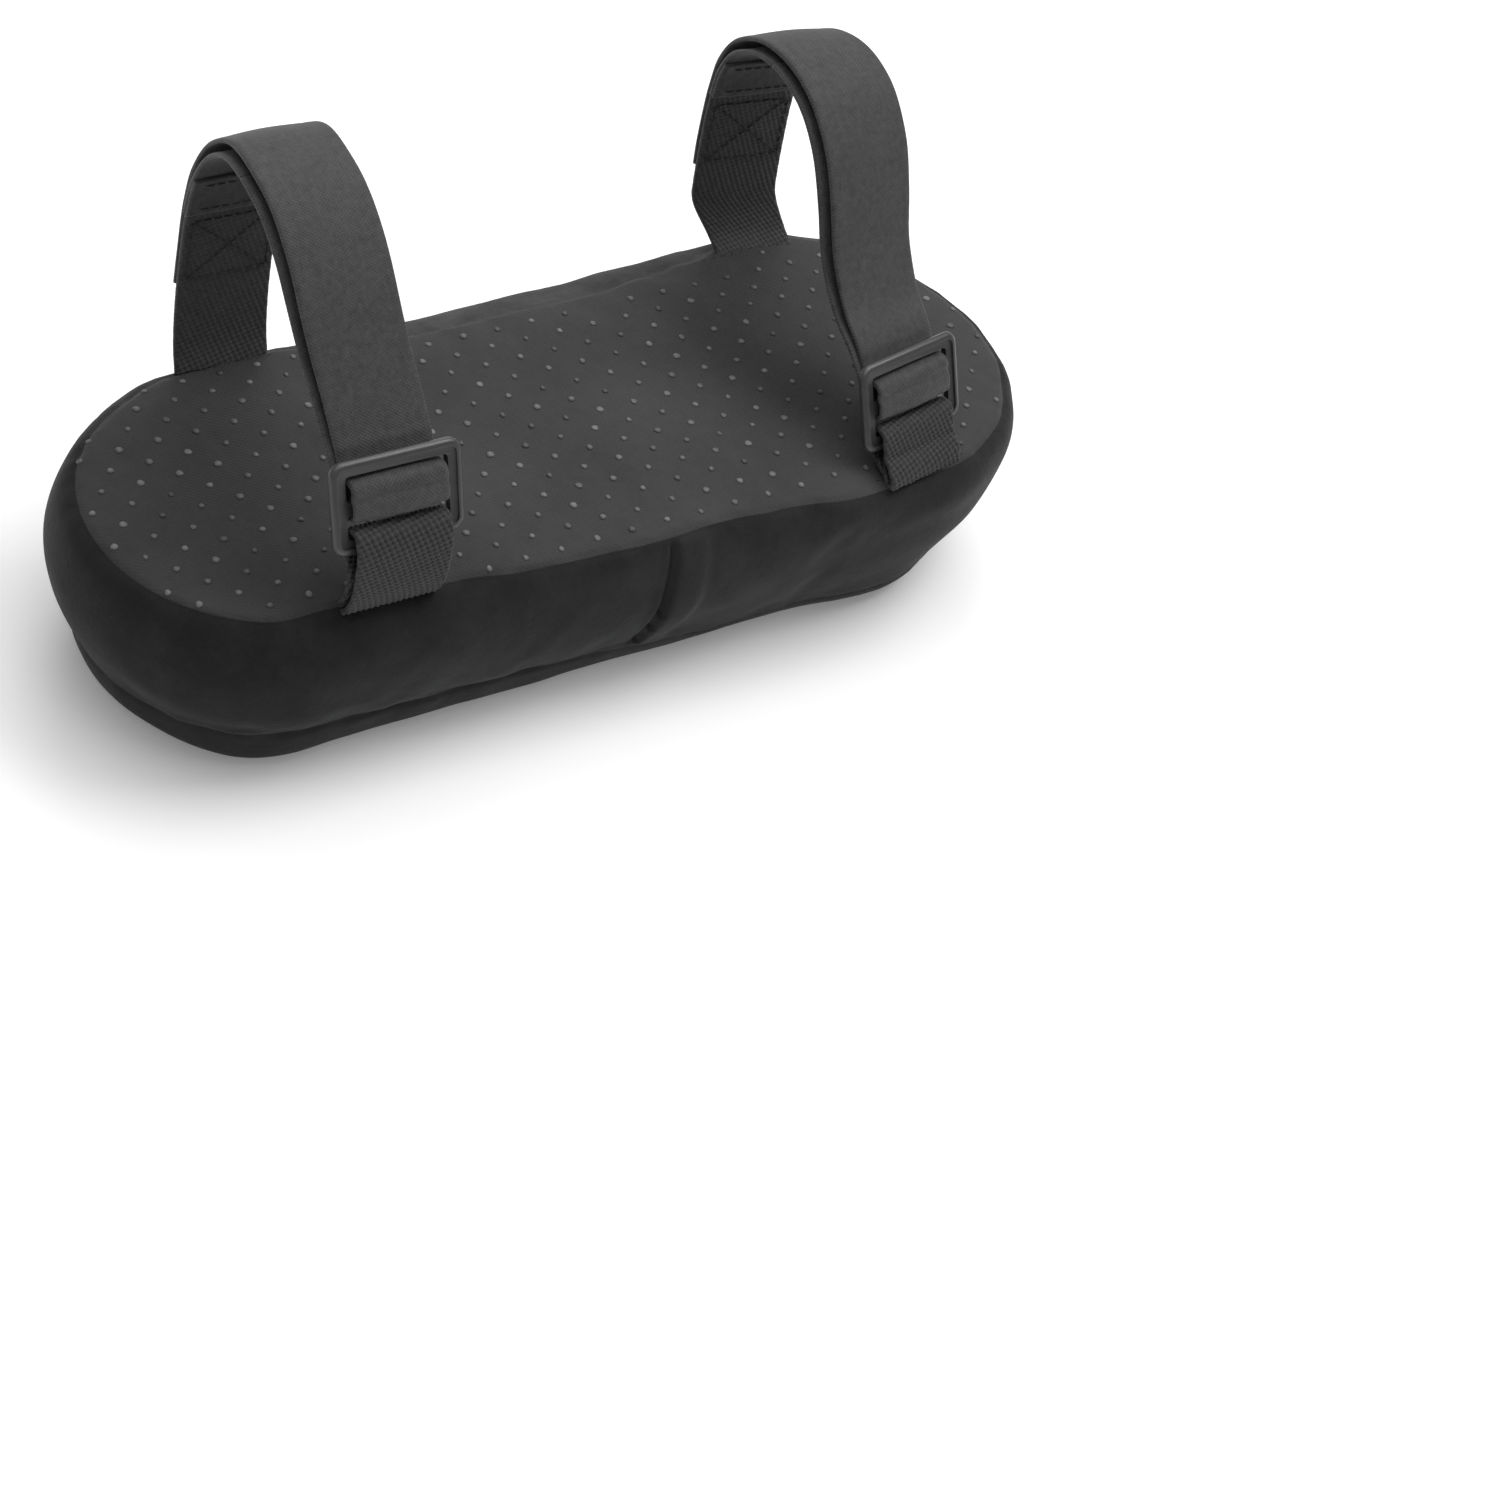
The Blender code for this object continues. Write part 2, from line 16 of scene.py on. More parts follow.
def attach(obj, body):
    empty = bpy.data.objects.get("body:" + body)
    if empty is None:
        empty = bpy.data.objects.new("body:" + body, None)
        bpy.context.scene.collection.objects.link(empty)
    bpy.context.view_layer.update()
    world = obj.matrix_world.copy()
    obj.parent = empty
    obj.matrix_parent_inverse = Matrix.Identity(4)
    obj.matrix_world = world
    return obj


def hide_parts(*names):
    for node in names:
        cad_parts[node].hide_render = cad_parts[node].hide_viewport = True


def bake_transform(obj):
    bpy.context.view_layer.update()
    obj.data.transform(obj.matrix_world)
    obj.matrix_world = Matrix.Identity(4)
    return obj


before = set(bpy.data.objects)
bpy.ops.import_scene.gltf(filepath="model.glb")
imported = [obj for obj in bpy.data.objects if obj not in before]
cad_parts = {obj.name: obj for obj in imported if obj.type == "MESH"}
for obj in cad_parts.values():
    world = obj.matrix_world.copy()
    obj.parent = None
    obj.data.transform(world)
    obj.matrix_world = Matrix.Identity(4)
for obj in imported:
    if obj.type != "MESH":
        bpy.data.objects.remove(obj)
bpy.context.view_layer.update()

MM = 0.001

# Camera and light
CAMERA_PLACE = (-0.43922, -0.51642, 0.61910)
CAMERA_AZIMUTH = -46.23
CAMERA_ELEVATION = 44.14
CAMERA_ROLL = 18.97
CAMERA_LENS = 86.416
SENSOR_WIDTH = 36.0
WORLD_LIGHT = 0.32
FLOOR_REACH = 4.0
FLOOR_DROP = 0.0004
LIGHT_TARGET = (0.0, 0.0, 0.05)
# Soft square lights: (name, place, size, power)
LIGHTS = [
    ("overhead", (0.15, 0.15, 1.5), 1.8, 16.0),
    ("key", (0.75, -0.1, 1.35), 0.8, 8.0),
    ("rim", (0.5, 1.1, 1.0), 0.7, 4.5),
]

# Cushion: half sizes of the base seam's outline, and the cage's spacing
HALF_LENGTH = 128.0
HALF_WIDTH = 44.0
HEIGHT = 50.0
STRAIGHT_STEPS = 42
END_STEPS = 36
COLUMNS = 2 * (STRAIGHT_STEPS + END_STEPS)
CAP_OFFSETS = [-41.0, -37.0, -33.0, -29.0, -25.0, -21.0, -17.0]
# Each wall level is (height, how far it stands outside the base seam's outline)
WALL_LEVELS = [
    (0.0, -13.2), (0.3, -10.7), (1.1, -8.2), (2.8, -6.2), (5.5, -4.6), (8.5, -3.5), (10.2, -3.05),
    (10.75, -2.9), (11.3, -2.7), (12.5, -2.35), (15.5, -1.2), (18.5, 0.2), (21.6, 1.5), (24.4, 2.6),
    (29.0, 3.6), (33.6, 4.0), (37.6, 4.0), (41.2, 3.8), (44.2, 3.1), (46.6, 2.2), (48.2, 0.9),
    (48.9, 0.0), (49.3, -0.7), (49.6, -1.6), (49.85, -3.4), (50.0, -6.2), (50.0, -9.6), (50.0, -13.0),
]
LEVELS = [(0.0, offset) for offset in CAP_OFFSETS] + WALL_LEVELS
LEVELS += [(HEIGHT, offset) for offset in reversed(CAP_OFFSETS)]
PLUSH_SEAM = (10.75, -2.9)
BASE_SEAM = (49.3, -0.7)
# How far the webbing and the cushion's stuffing push the outline out of its plain shape, as (x, shift)
NEAR_SEAM_SHIFT = [(-128, 0.0), (-104, -1.6), (-86, -5.0), (-70, -5.2), (-56, -4.0), (-30, -0.8), (0, 0.3),
                   (20, -0.8), (42, -0.4), (56, 1.6), (68, 1.0), (88, 0.0), (128, 0.0)]
FAR_SEAM_SHIFT = [(-128, 0.0), (-100, 0.0), (-85, 0.2), (-58, 0.5), (-38, -3.8), (-16, -6.0), (34, -7.2),
                  (50, -6.0), (66, -4.6), (78, -1.6), (92, -0.7), (128, 0.0)]
NEAR_WALL_SHIFT = [(-128, -0.8), (-104, -0.3), (-30, 0.2), (20, 0.5), (42, 1.4), (60, 2.2), (88, 2.0),
                   (110, 1.0), (128, 0.6)]
FAR_WALL_SHIFT = [(-128, -0.8), (-108, -1.3), (-85, 1.1), (-58, 2.2), (-16, 3.6), (34, 5.4), (50, 6.2),
                  (70, 6.9), (88, 6.7), (104, 4.8), (128, 0.6)]
LOW_WALL_SHIFT = [(-128, -0.8), (-98, 2.6), (-84, 2.0), (-30, 1.6), (20, 0.6), (50, 0.2), (78, 1.7),
                  (114, -2.2), (128, -1.6)]
# How far the plush seam has crept up or down the wall, as (x, rise)
PLUSH_SEAM_RISE = [(-128, 1.6), (-98, 4.2), (-66, 3.4), (-30, 2.6), (34, -2.6), (128, -2.6)]
CLOSING_SEAM_X = 5.5
COVER_THICKNESS = 1.1
SWELL_PRESSURE = 4.0
SWELL_FRAMES = 20
SWELL_LIMIT = 1.2
FOAM_INSET = 3.4
FOAM_Y_BEHIND_ZIP = 43.4
FAR_SIDE_Y = 20.0

# Grip dots: a centred lattice
DOT_PITCH = (9.94, 11.39)
DOT_ORIGIN = (30.77, 0.86)
DOT_RADIUS = 0.92
DOT_HEIGHT = 0.55

# Zip along the far wall
ZIP_HEIGHT = 29.0
ZIP_SLOT_HALF_LENGTH = 72.0
ZIP_SLOT_HALF_HEIGHT = 4.6
ZIP_SLOT_LEVELS = ((24.4, 2.6), (33.6, 4.0))
ZIP_LIP_Y = 45.7
COIL_HALF_LENGTH = 66.0
COIL_PITCH = 2.0
COIL_CENTRE_Y = 45.4
COIL_WIRE = 0.34
COIL_POINTS_PER_TURN = 14
TAPE_STITCH_Y = 44.45

# Webbing and buckles
WEBBING_WIDTH = 25.0
STRAP_THICKNESS = 1.2
STRAP_BOW = -0.5
COARSE_THICKNESS = 1.5
COARSE_RIB = (1.5, 1.2, 0.5)
BUCKLE_WIDTH = 34.0
BUCKLE_LENGTH = 22.0
BUCKLE_THICKNESS = 2.6
BUCKLE_CORNER = 3.2
BUCKLE_RIM = 1.25
BUCKLE_ARCH = 0.8
BUCKLE_WINDOW_WIDTH = 26.4
BUCKLE_SLOTS = [(3.6, 9.2), (12.4, 18.4)]
TAB_WRAP_RADIUS = 2.9
TAIL_OFFSET_AT_BUCKLE = 1.75
TAIL_OFFSET = 3.3
TAIL_OFFSET_RUN = 18.0
TAIL_ASIDE = -1.5
TIP_LENGTH = 13.0
TIP_BOTTOM = 45.0
# A box and a cross sewn through strap and anchor, as lines of (across, along) corners
BOX_SEAM = [
    [(-10.6, 2.0), (10.6, 2.0), (10.6, 18.5), (-10.6, 18.5), (-10.6, 2.0), (10.6, 18.5)],
    [(-10.6, 18.5), (10.6, 2.0)],
]
BOX_SEAM_DROP = 21.0
STITCH_PITCH = 2.7
STITCH_LENGTH = 2.1
THREAD_RADIUS = 0.2

# Paths are (y, height above the base face); each strap runs from the far seam over to its buckle
LOOPS = {
    "left": {
        "x": -71.0, "yaw": (0.0, 0.0), "sway": -2.2, "foot_slide": 0.0,
        "buckle_foot": (-38.9, 16.4), "buckle_lean": 24.8, "wrap_foot": -1.3,
        "tab": [(-38.9, -0.8), (-40.2, 1.6), (-41.2, 5.6), (-41.0, 10.5)],
        "anchor": [(44.8, -0.9), (47.4, 6.0), (49.4, 16.0), (50.6, 27.0), (51.2, 36.0), (51.3, 43.0)],
        "strap": [(51.9, 22.0), (52.4, 29.0), (52.9, 37.0), (53.0, 46.0), (51.6, 56.0), (46.8, 66.5),
                  (38.0, 74.2), (27.0, 77.0), (15.5, 75.2), (5.0, 69.2), (-4.0, 60.8), (-12.0, 50.6),
                  (-19.0, 42.0)],
    },
    "right": {
        "x": 80.0, "yaw": (10.0, -6.0), "sway": 1.6, "foot_slide": 4.8,
        "buckle_foot": (-36.6, 5.2), "buckle_lean": 31.2, "wrap_foot": -0.5,
        "tab": [(-44.4, -0.8), (-43.7, 0.9), (-41.9, 2.3), (-39.6, 3.3)],
        "anchor": [(43.4, -0.7), (48.0, 3.6), (51.4, 10.0), (53.2, 18.5), (54.4, 27.0), (55.4, 36.0),
                   (55.7, 43.0)],
        "strap": [(55.3, 22.0), (56.4, 29.0), (57.1, 37.0), (57.4, 45.5), (56.6, 54.5), (52.4, 63.0),
                  (43.5, 69.2), (33.0, 70.6), (21.5, 66.8), (11.8, 59.0), (3.8, 48.6), (-3.2, 37.6),
                  (-11.2, 29.0)],
    },
}


# ---------------------------------------------------------------- materials


def add_node(tree, kind, inputs=None, **settings):
    """Add a shader node, set its properties, and fill or connect its inputs."""
    made = tree.nodes.new("ShaderNode" + kind)
    for name, value in settings.items():
        setattr(made, name, value)
    for name, value in (inputs or {}).items():
        if isinstance(value, bpy.types.NodeSocket):
            tree.links.new(value, made.inputs[name])
        else:
            made.inputs[name].default_value = value
    return made


def calculate(tree, operation, first, second=0.0):
    """The result of a Math node."""
    return add_node(tree, "Math", {0: first, 1: second}, operation=operation).outputs[0]


def scaled(tree, value, factor, shift):
    """A value times a factor, plus a shift."""
    return add_node(tree, "Math", {0: value, 1: factor, 2: shift}, operation="MULTIPLY_ADD").outputs[0]


def weighted(tree, *terms):
    """Sum of sockets times weights, where each one's middle value of 0.5 adds nothing, plus 0.5."""
    total = 0.5
    for socket, weight in terms:
        total = scaled(tree, calculate(tree, "SUBTRACT", socket, 0.5), weight, total)
    return total


def edge_wear_and_painted_highlight(tree, contrast):
    """Above 0.5 on raised edges and below it in hollows: on the buckle painted highlight and painted shade,
    on the zip's metal edge wear and darker hollows.
    """
    return weighted(tree, (add_node(tree, "NewGeometry").outputs["Pointiness"], contrast))


def components(tree, vector):
    """The X, Y and Z outputs of a vector."""
    return add_node(tree, "SeparateXYZ", {"Vector": vector}).outputs


def mapped(tree, vector, **change):
    """A vector after a change of scale or rotation."""
    return add_node(tree, "Mapping", {"Vector": vector, **change}).outputs["Vector"]


def ramp_up(tree, value, start, end):
    """0 where the value is below start, 1 above end, and straight between."""
    return add_node(tree, "MapRange", {"Value": value, "From Min": start, "From Max": end}).outputs["Result"]


def place_in_mm(tree, stretch=(1.0, 1.0, 1.0)):
    """Object coordinates in millimetres."""
    place = add_node(tree, "TexCoord").outputs["Object"]
    return mapped(tree, place, Scale=[value / MM for value in stretch])


def grain(tree, vector, size, detail=4.0, roughness=0.6):
    """Noise whose features are about the given size."""
    return add_node(tree, "TexNoise", {"Vector": vector, "Scale": 1.0 / size, "Detail": detail,
                                       "Roughness": roughness}).outputs["Fac"]


def colour_between(tree, value, *stops):
    """A colour between two, given as (position, (red, green, blue)) pairs."""
    ramp = add_node(tree, "ValToRGB", {"Fac": value})
    for element, (position, colour) in zip(ramp.color_ramp.elements, stops):
        element.position = position
        element.color = (*colour, 1.0)
    return ramp.outputs["Color"]


def tint(tree, value, dark, light):
    """A colour between two greys, given as (position, grey level) pairs; blue stands slightly higher."""
    stops = [(position, (grey, grey, grey * 1.04)) for position, grey in (dark, light)]
    return colour_between(tree, value, *stops)


def start_material(name, **sockets):
    """A new material with plain values set on its shader's own sockets, and the material's tree."""
    material = bpy.data.materials.new(name)
    material.use_nodes = True
    shader = material.node_tree.nodes["Principled BSDF"]
    for key, value in sockets.items():
        shader.inputs[key.replace("_", " ")].default_value = value
    return material, material.node_tree


def finish_material(material, colour, height, distance, strength, roughness=None):
    """The material with its colour, its bump and, where given, a varying roughness connected."""
    tree = material.node_tree
    inputs = tree.nodes["Principled BSDF"].inputs
    tree.links.new(colour, inputs["Base Color"])
    bump = add_node(tree, "Bump", {"Height": height, "Distance": distance * MM, "Strength": strength})
    tree.links.new(bump.outputs["Normal"], inputs["Normal"])
    if roughness is not None:
        tree.links.new(roughness, inputs["Roughness"])
    return material


def make_velour():
    """Short charcoal pile with brushed patches, lighter towards the right end with painted light, and paler
    on the far upper edge with painted sheen.
    """
    material, tree = start_material("velour_pile", Roughness=0.95, Sheen_Weight=0.26, Sheen_Roughness=0.3,
                                    Sheen_Tint=(0.36, 0.36, 0.38, 1.0))
    place = place_in_mm(tree)
    brushed = grain(tree, place, 34.0, 2.0, 0.5)
    patches = grain(tree, place, 11.0, 3.0, 0.55)
    clumps = grain(tree, place, 2.4, 4.0, 0.65)
    strands = grain(tree, place_in_mm(tree, (1.0, 1.0, 0.3)), 0.55, 3.0, 0.7)
    fibres = grain(tree, place, 0.28, 2.0, 0.7)
    parts = components(tree, place)
    # Painted light: the pile is made lighter towards the right end, standing in for the key light from that
    # side.
    painted_light_towards_right_end = scaled(tree, parts["X"], 0.004, 0.5)
    tone = weighted(tree, (brushed, 0.8), (painted_light_towards_right_end, 0.5), (patches, 1.3), (clumps, 0.6),
                    (strands, 0.45), (fibres, 0.3))
    # Painted sheen: where the pile faces up on the far side it is made paler, standing in for the sheen of
    # grazing light.
    far = ramp_up(tree, parts["Y"], 28.0, 42.0)
    high = ramp_up(tree, parts["Z"], 38.0, 45.0)
    painted_sheen_mask = calculate(tree, "MULTIPLY", far, high)
    height = weighted(tree, (clumps, 0.5), (strands, 0.6), (fibres, 0.4))
    deep = tint(tree, tone, (0.1, 0.0019), (0.9, 0.0135))
    # This paler tint is the painted sheen.
    pale = tint(tree, tone, (0.1, 0.020), (0.9, 0.060))
    colour = add_node(tree, "MixRGB", {"Fac": painted_sheen_mask, "Color1": deep, "Color2": pale}).outputs["Color"]
    return finish_material(material, colour, height, 0.5, 0.55)


def make_grip_fabric():
    """Close knit of the base, slightly lighter, with faint cloudy areas and a gentle lightening towards the
    right end.
    """
    material, tree = start_material("grip_knit", Roughness=0.82, Sheen_Weight=0.05, Sheen_Roughness=0.5)
    place = place_in_mm(tree)
    cloud = grain(tree, place, 38.0, 2.0, 0.5)
    slub = grain(tree, place, 3.2, 3.0, 0.6)
    knit = checker_weave(tree, place, 0.75, 0.6)
    lint = grain(tree, place, 0.45, 3.0, 0.7)
    # A gentle lightening towards the right end.
    lighter_towards_right_end = scaled(tree, components(tree, place)["X"], 0.004, 0.5)
    tone = weighted(tree, (cloud, 0.9), (lighter_towards_right_end, 0.3), (slub, 0.35), (knit, 0.15), (lint, 0.4))
    height = weighted(tree, (slub, 0.6), (knit, 0.4), (lint, 0.5))
    colour = tint(tree, tone, (0.1, 0.014), (0.9, 0.042))
    return finish_material(material, colour, height, 0.25, 0.5)


def make_dot_rubber():
    """Pale grip rubber; each dot has its own tone, and its top has picked up lint."""
    material, tree = start_material("grip_dot_rubber", Roughness=0.5, Specular_IOR_Level=0.4)
    place = place_in_mm(tree)
    own = add_node(tree, "Attribute", attribute_name="tone").outputs["Fac"]
    dust = grain(tree, place, 0.5, 3.0, 0.7)
    tone = weighted(tree, (own, 1.0), (dust, 0.5))
    colour = tint(tree, tone, (0.05, 0.055), (0.95, 0.150))
    return finish_material(material, colour, dust, 0.08, 0.4, scaled(tree, dust, 0.3, 0.35))


def checker_weave(tree, vector, across, along):
    """Height of a plain weave with the given thread pitches, from 0 to 1."""
    parts = components(tree, vector)
    warp = calculate(tree, "SINE", calculate(tree, "MULTIPLY", parts["X"], math.pi / across))
    weft = calculate(tree, "SINE", calculate(tree, "MULTIPLY", parts["Y"], math.pi / along))
    return scaled(tree, calculate(tree, "MULTIPLY", warp, weft), 0.5, 0.5)


def make_webbing(name, dark, light, pitch, sheen, ribs):
    """Woven strap: threads follow the strap's own across and along coordinates, and painted shade darkens
    the rib hollows.
    """
    material, tree = start_material(name, Roughness=0.72, Sheen_Weight=sheen, Sheen_Roughness=0.5)
    strip = add_node(tree, "Attribute", attribute_name="weave").outputs["Vector"]
    weave = checker_weave(tree, strip, *pitch)
    streaks = grain(tree, mapped(tree, strip, Scale=(1.0, 0.12, 1.0)), 0.7, 3.0, 0.65)
    mottle = grain(tree, strip, 1.5, 4.0, 0.7)
    fuzz = grain(tree, strip, 0.3, 2.0, 0.7)
    # Painted shade: the third weave value follows the rib height, so hollows are painted darker and crowns
    # lighter.
    rib = components(tree, strip)["Z"]
    tone = weighted(tree, (weave, 0.4), (rib, ribs), (streaks, 0.4), (mottle, 1.1), (fuzz, 0.45))
    height = weighted(tree, (weave, 0.8), (streaks, 0.3), (mottle, 0.25), (fuzz, 0.3))
    colour = tint(tree, tone, (0.1, dark), (0.9, light))
    return finish_material(material, colour, height, 0.16, 0.6)


def make_plastic():
    """Moulded buckle plastic: satin, with fine texture, faint flow lines, painted highlight on its edges and
    painted shade in its hollows.
    """
    material, tree = start_material("moulded_plastic", Roughness=0.38, Specular_IOR_Level=0.65)
    place = place_in_mm(tree)
    texture = grain(tree, place, 0.35, 3.0, 0.6)
    flow = grain(tree, place_in_mm(tree, (0.25, 1.0, 1.0)), 3.0, 2.0, 0.5)
    # Painted highlight on the rim's raised edges and painted shade in the hollows.
    edge = edge_wear_and_painted_highlight(tree, 9.0)
    tone = weighted(tree, (texture, 0.3), (flow, 0.4), (edge, 0.5))
    colour = tint(tree, tone, (0.1, 0.013), (0.9, 0.046))
    return finish_material(material, colour, texture, 0.05, 0.5, scaled(tree, texture, 0.2, 0.28))


def make_thread(name, grey):
    """Twisted sewing thread."""
    material, tree = start_material(name, Roughness=0.7, Specular_IOR_Level=0.2)
    place = place_in_mm(tree)
    ply = grain(tree, place, 0.22, 2.0, 0.6)
    colour = tint(tree, ply, (0.2, grey * 0.6), (0.8, grey * 1.4))
    return finish_material(material, colour, ply, 0.06, 0.6)


def make_tape():
    """Woven zip tape with its ribs along the zip."""
    material, tree = start_material("zip_tape_weave", Roughness=0.8, Sheen_Weight=0.1)
    upright = mapped(tree, place_in_mm(tree), Rotation=(math.pi / 2, 0.0, 0.0))
    weave = checker_weave(tree, upright, 0.4, 0.55)
    lint = grain(tree, place_in_mm(tree), 0.5, 3.0, 0.7)
    tone = weighted(tree, (weave, 0.7), (lint, 0.6))
    colour = tint(tree, tone, (0.1, 0.012), (0.9, 0.035))
    return finish_material(material, colour, weave, 0.15, 0.7)


def make_nylon():
    """Nylon monofilament of the zip's coils."""
    material, tree = start_material("zip_nylon", Roughness=0.3, Specular_IOR_Level=0.55)
    place = place_in_mm(tree)
    drawn = grain(tree, place, 0.4, 2.0, 0.5)
    colour = tint(tree, drawn, (0.2, 0.018), (0.8, 0.035))
    return finish_material(material, colour, drawn, 0.03, 0.3)


def make_zip_metal():
    """Dark plated metal with worn edges and fine scratches."""
    material, tree = start_material("zip_plated_metal", Roughness=0.32, Metallic=0.95)
    scratches = grain(tree, place_in_mm(tree, (0.15, 1.0, 1.0)), 0.25, 3.0, 0.7)
    stain = grain(tree, place_in_mm(tree), 1.6, 3.0, 0.6)
    edge = edge_wear_and_painted_highlight(tree, 8.0)
    tone = weighted(tree, (scratches, 0.3), (stain, 0.5), (edge, 0.8))
    colour = tint(tree, tone, (0.1, 0.035), (0.9, 0.17))
    return finish_material(material, colour, scratches, 0.02, 0.4, scaled(tree, scratches, 0.3, 0.2))


def make_foam():
    """Open-cell foam."""
    material, tree = start_material("open_cell_foam", Roughness=0.9)
    place = place_in_mm(tree)
    cells = add_node(tree, "TexVoronoi", {"Vector": place, "Scale": 1.4}).outputs["Distance"]
    cloud = grain(tree, place, 6.0, 3.0, 0.6)
    tone = weighted(tree, (cells, -0.6), (cloud, 0.5))
    colour = colour_between(tree, tone, (0.0, (0.45, 0.40, 0.26)), (1.0, (0.80, 0.76, 0.60)))
    return finish_material(material, colour, cells, 0.5, 0.7)


def make_paper():
    """Pale studio floor with the faintest mottling."""
    material, tree = start_material("studio_floor", Roughness=0.9, Specular_IOR_Level=0.1,
                                    Emission_Strength=0.14, Emission_Color=(1.0, 1.0, 1.0, 1.0))
    mottle = grain(tree, place_in_mm(tree), 60.0, 3.0, 0.5)
    colour = colour_between(tree, mottle, (0.0, (0.955, 0.955, 0.955)), (1.0, (0.975, 0.975, 0.975)))
    return finish_material(material, colour, mottle, 0.1, 0.1)


MATERIALS = {
    "velour": make_velour(),
    "grip_fabric": make_grip_fabric(),
    "dots": make_dot_rubber(),
    "foam": make_foam(),
    "strap_webbing": make_webbing("fine_webbing", 0.015, 0.060, (0.55, 0.42), 0.10, 0.0),
    "coarse_webbing": make_webbing("coarse_webbing", 0.0075, 0.036, (0.44, 0.375), 0.08, 1.0),
    # Painted light: the anchors are the same coarse webbing as the tabs, in a lighter copy that makes up for
    # the shade inside the loops.
    "anchor_webbing": make_webbing("anchor_webbing", 0.018, 0.056, (0.44, 0.375), 0.12, 0.6),
    "buckle_plastic": make_plastic(),
    "thread": make_thread("dark_thread", 0.008),
    "strap_thread": make_thread("strap_thread", 0.042),
    "zip_tape": make_tape(),
    "zip_coil": make_nylon(),
    "zip_metal": make_zip_metal(),
}


# ---------------------------------------------------------------- meshes


def add_object(name, data):
    """A new object in the scene."""
    item = bpy.data.objects.new(name, data)
    bpy.context.scene.collection.objects.link(item)
    return item


def make_mesh(name, points, faces, material, smooth=True):
    """An object from points in millimetres."""
    mesh = bpy.data.meshes.new(name)
    mesh.from_pydata([tuple(point) for point in np.asarray(points) * MM], [], [tuple(f) for f in faces])
    mesh.polygons.foreach_set("use_smooth", [smooth] * len(mesh.polygons))
    mesh.update()
    if material:
        mesh.materials.append(MATERIALS[material])
    return add_object(name, mesh)


def ring_faces(rings, count, first=0):
    """Quads between consecutive rings of count points each."""
    faces = []
    for start in range(first, first + (rings - 1) * count, count):
        for step in range(count):
            low, after = start + step, start + (step + 1) % count
            faces.append((low, after, after + count, low + count))
    return faces


def tube_faces(rings, count, first=0):
    """The quads of a tube made of rings, and the two faces that close its ends."""
    last = first + (rings - 1) * count
    start_cap = tuple(first + step for step in reversed(range(count)))
    return ring_faces(rings, count, first) + [start_cap, tuple(last + step for step in range(count))]


def set_attribute(item, name, values):
    """Store one vector or number for each point of a piece."""
    values = np.asarray(values, np.float32)
    kind, field = ("FLOAT_VECTOR", "vector") if values.ndim == 2 else ("FLOAT", "value")
    item.data.attributes.new(name, kind, "POINT").data.foreach_set(field, values.ravel())


def round_edges(item, width, sharpest):
    """Bevel the edges that turn by more than an angle in degrees."""
    rounding = item.modifiers.new("rounding", "BEVEL")
    rounding.width = width * MM
    rounding.segments = 3
    rounding.limit_method = "ANGLE"
    rounding.angle_limit = math.radians(sharpest)


def read_vectors(entries, name):
    """One vector for each entry of a mesh's collection."""
    values = np.zeros(len(entries) * 3)
    entries.foreach_get(name, values)
    return values.reshape(-1, 3)


def get_points(mesh):
    """A mesh's points in millimetres."""
    return read_vectors(mesh.vertices, "co") / MM


def get_normals(mesh):
    """A mesh's vertex normals."""
    return read_vectors(mesh.vertex_normals, "vector")


def evaluated_mesh(item):
    """The mesh with its modifiers applied."""
    bpy.context.view_layer.update()
    graph = bpy.context.evaluated_depsgraph_get()
    return bpy.data.meshes.new_from_object(item.evaluated_get(graph), depsgraph=graph)


def thicken(item, thickness):
    """Give an open panel its cloth thickness, inwards."""
    modifier = item.modifiers.new("cloth", "SOLIDIFY")
    modifier.thickness = thickness * MM
    modifier.offset = -1.0


def path_lengths(path):
    """Distance along the path at each of its points."""
    return np.concatenate([[0.0], np.cumsum(np.linalg.norm(np.diff(path, axis=0), axis=1))])


def at_lengths(path, places):
    """The points at the given distances along a path."""
    run = path_lengths(path)
    return np.stack([np.interp(places, run, column) for column in path.T], axis=-1)


def wander(points, size, seed):
    """Smooth noise between about -1 and 1 at each point, with features of the given size."""
    shift = Vector((seed * 17.3, seed * 9.1, seed * 5.7))
    return np.array([noise.noise(Vector(point) / size + shift) for point in points]) * 1.6


# ---------------------------------------------------------------- cushion


def stadium(height, offset):
    """One ring of the cushion, counter-clockwise from above, starting at the near left corner."""
    radius = HALF_WIDTH + offset
    straight = HALF_LENGTH - HALF_WIDTH
    ring = []
    for side in (-1, 1):
        for step in range(STRAIGHT_STEPS):
            x = straight * (2.0 * step / STRAIGHT_STEPS - 1.0)
            ring.append((-side * x, side * radius, height))
        for step in range(END_STEPS):
            angle = math.pi * (step / END_STEPS - 0.5)
            if side == 1:
                angle += math.pi
            ring.append((-side * straight + radius * math.cos(angle), radius * math.sin(angle), height))
    return ring


def smooth_step(value):
    """0 below 0, 1 above 1, and smooth between."""
    value = np.clip(value, 0.0, 1.0)
    return value * value * (3.0 - 2.0 * value)


def bell(value, width):
    """1 where the value is 0, falling away on both sides within about the width."""
    return np.exp(-(value / width) ** 2)


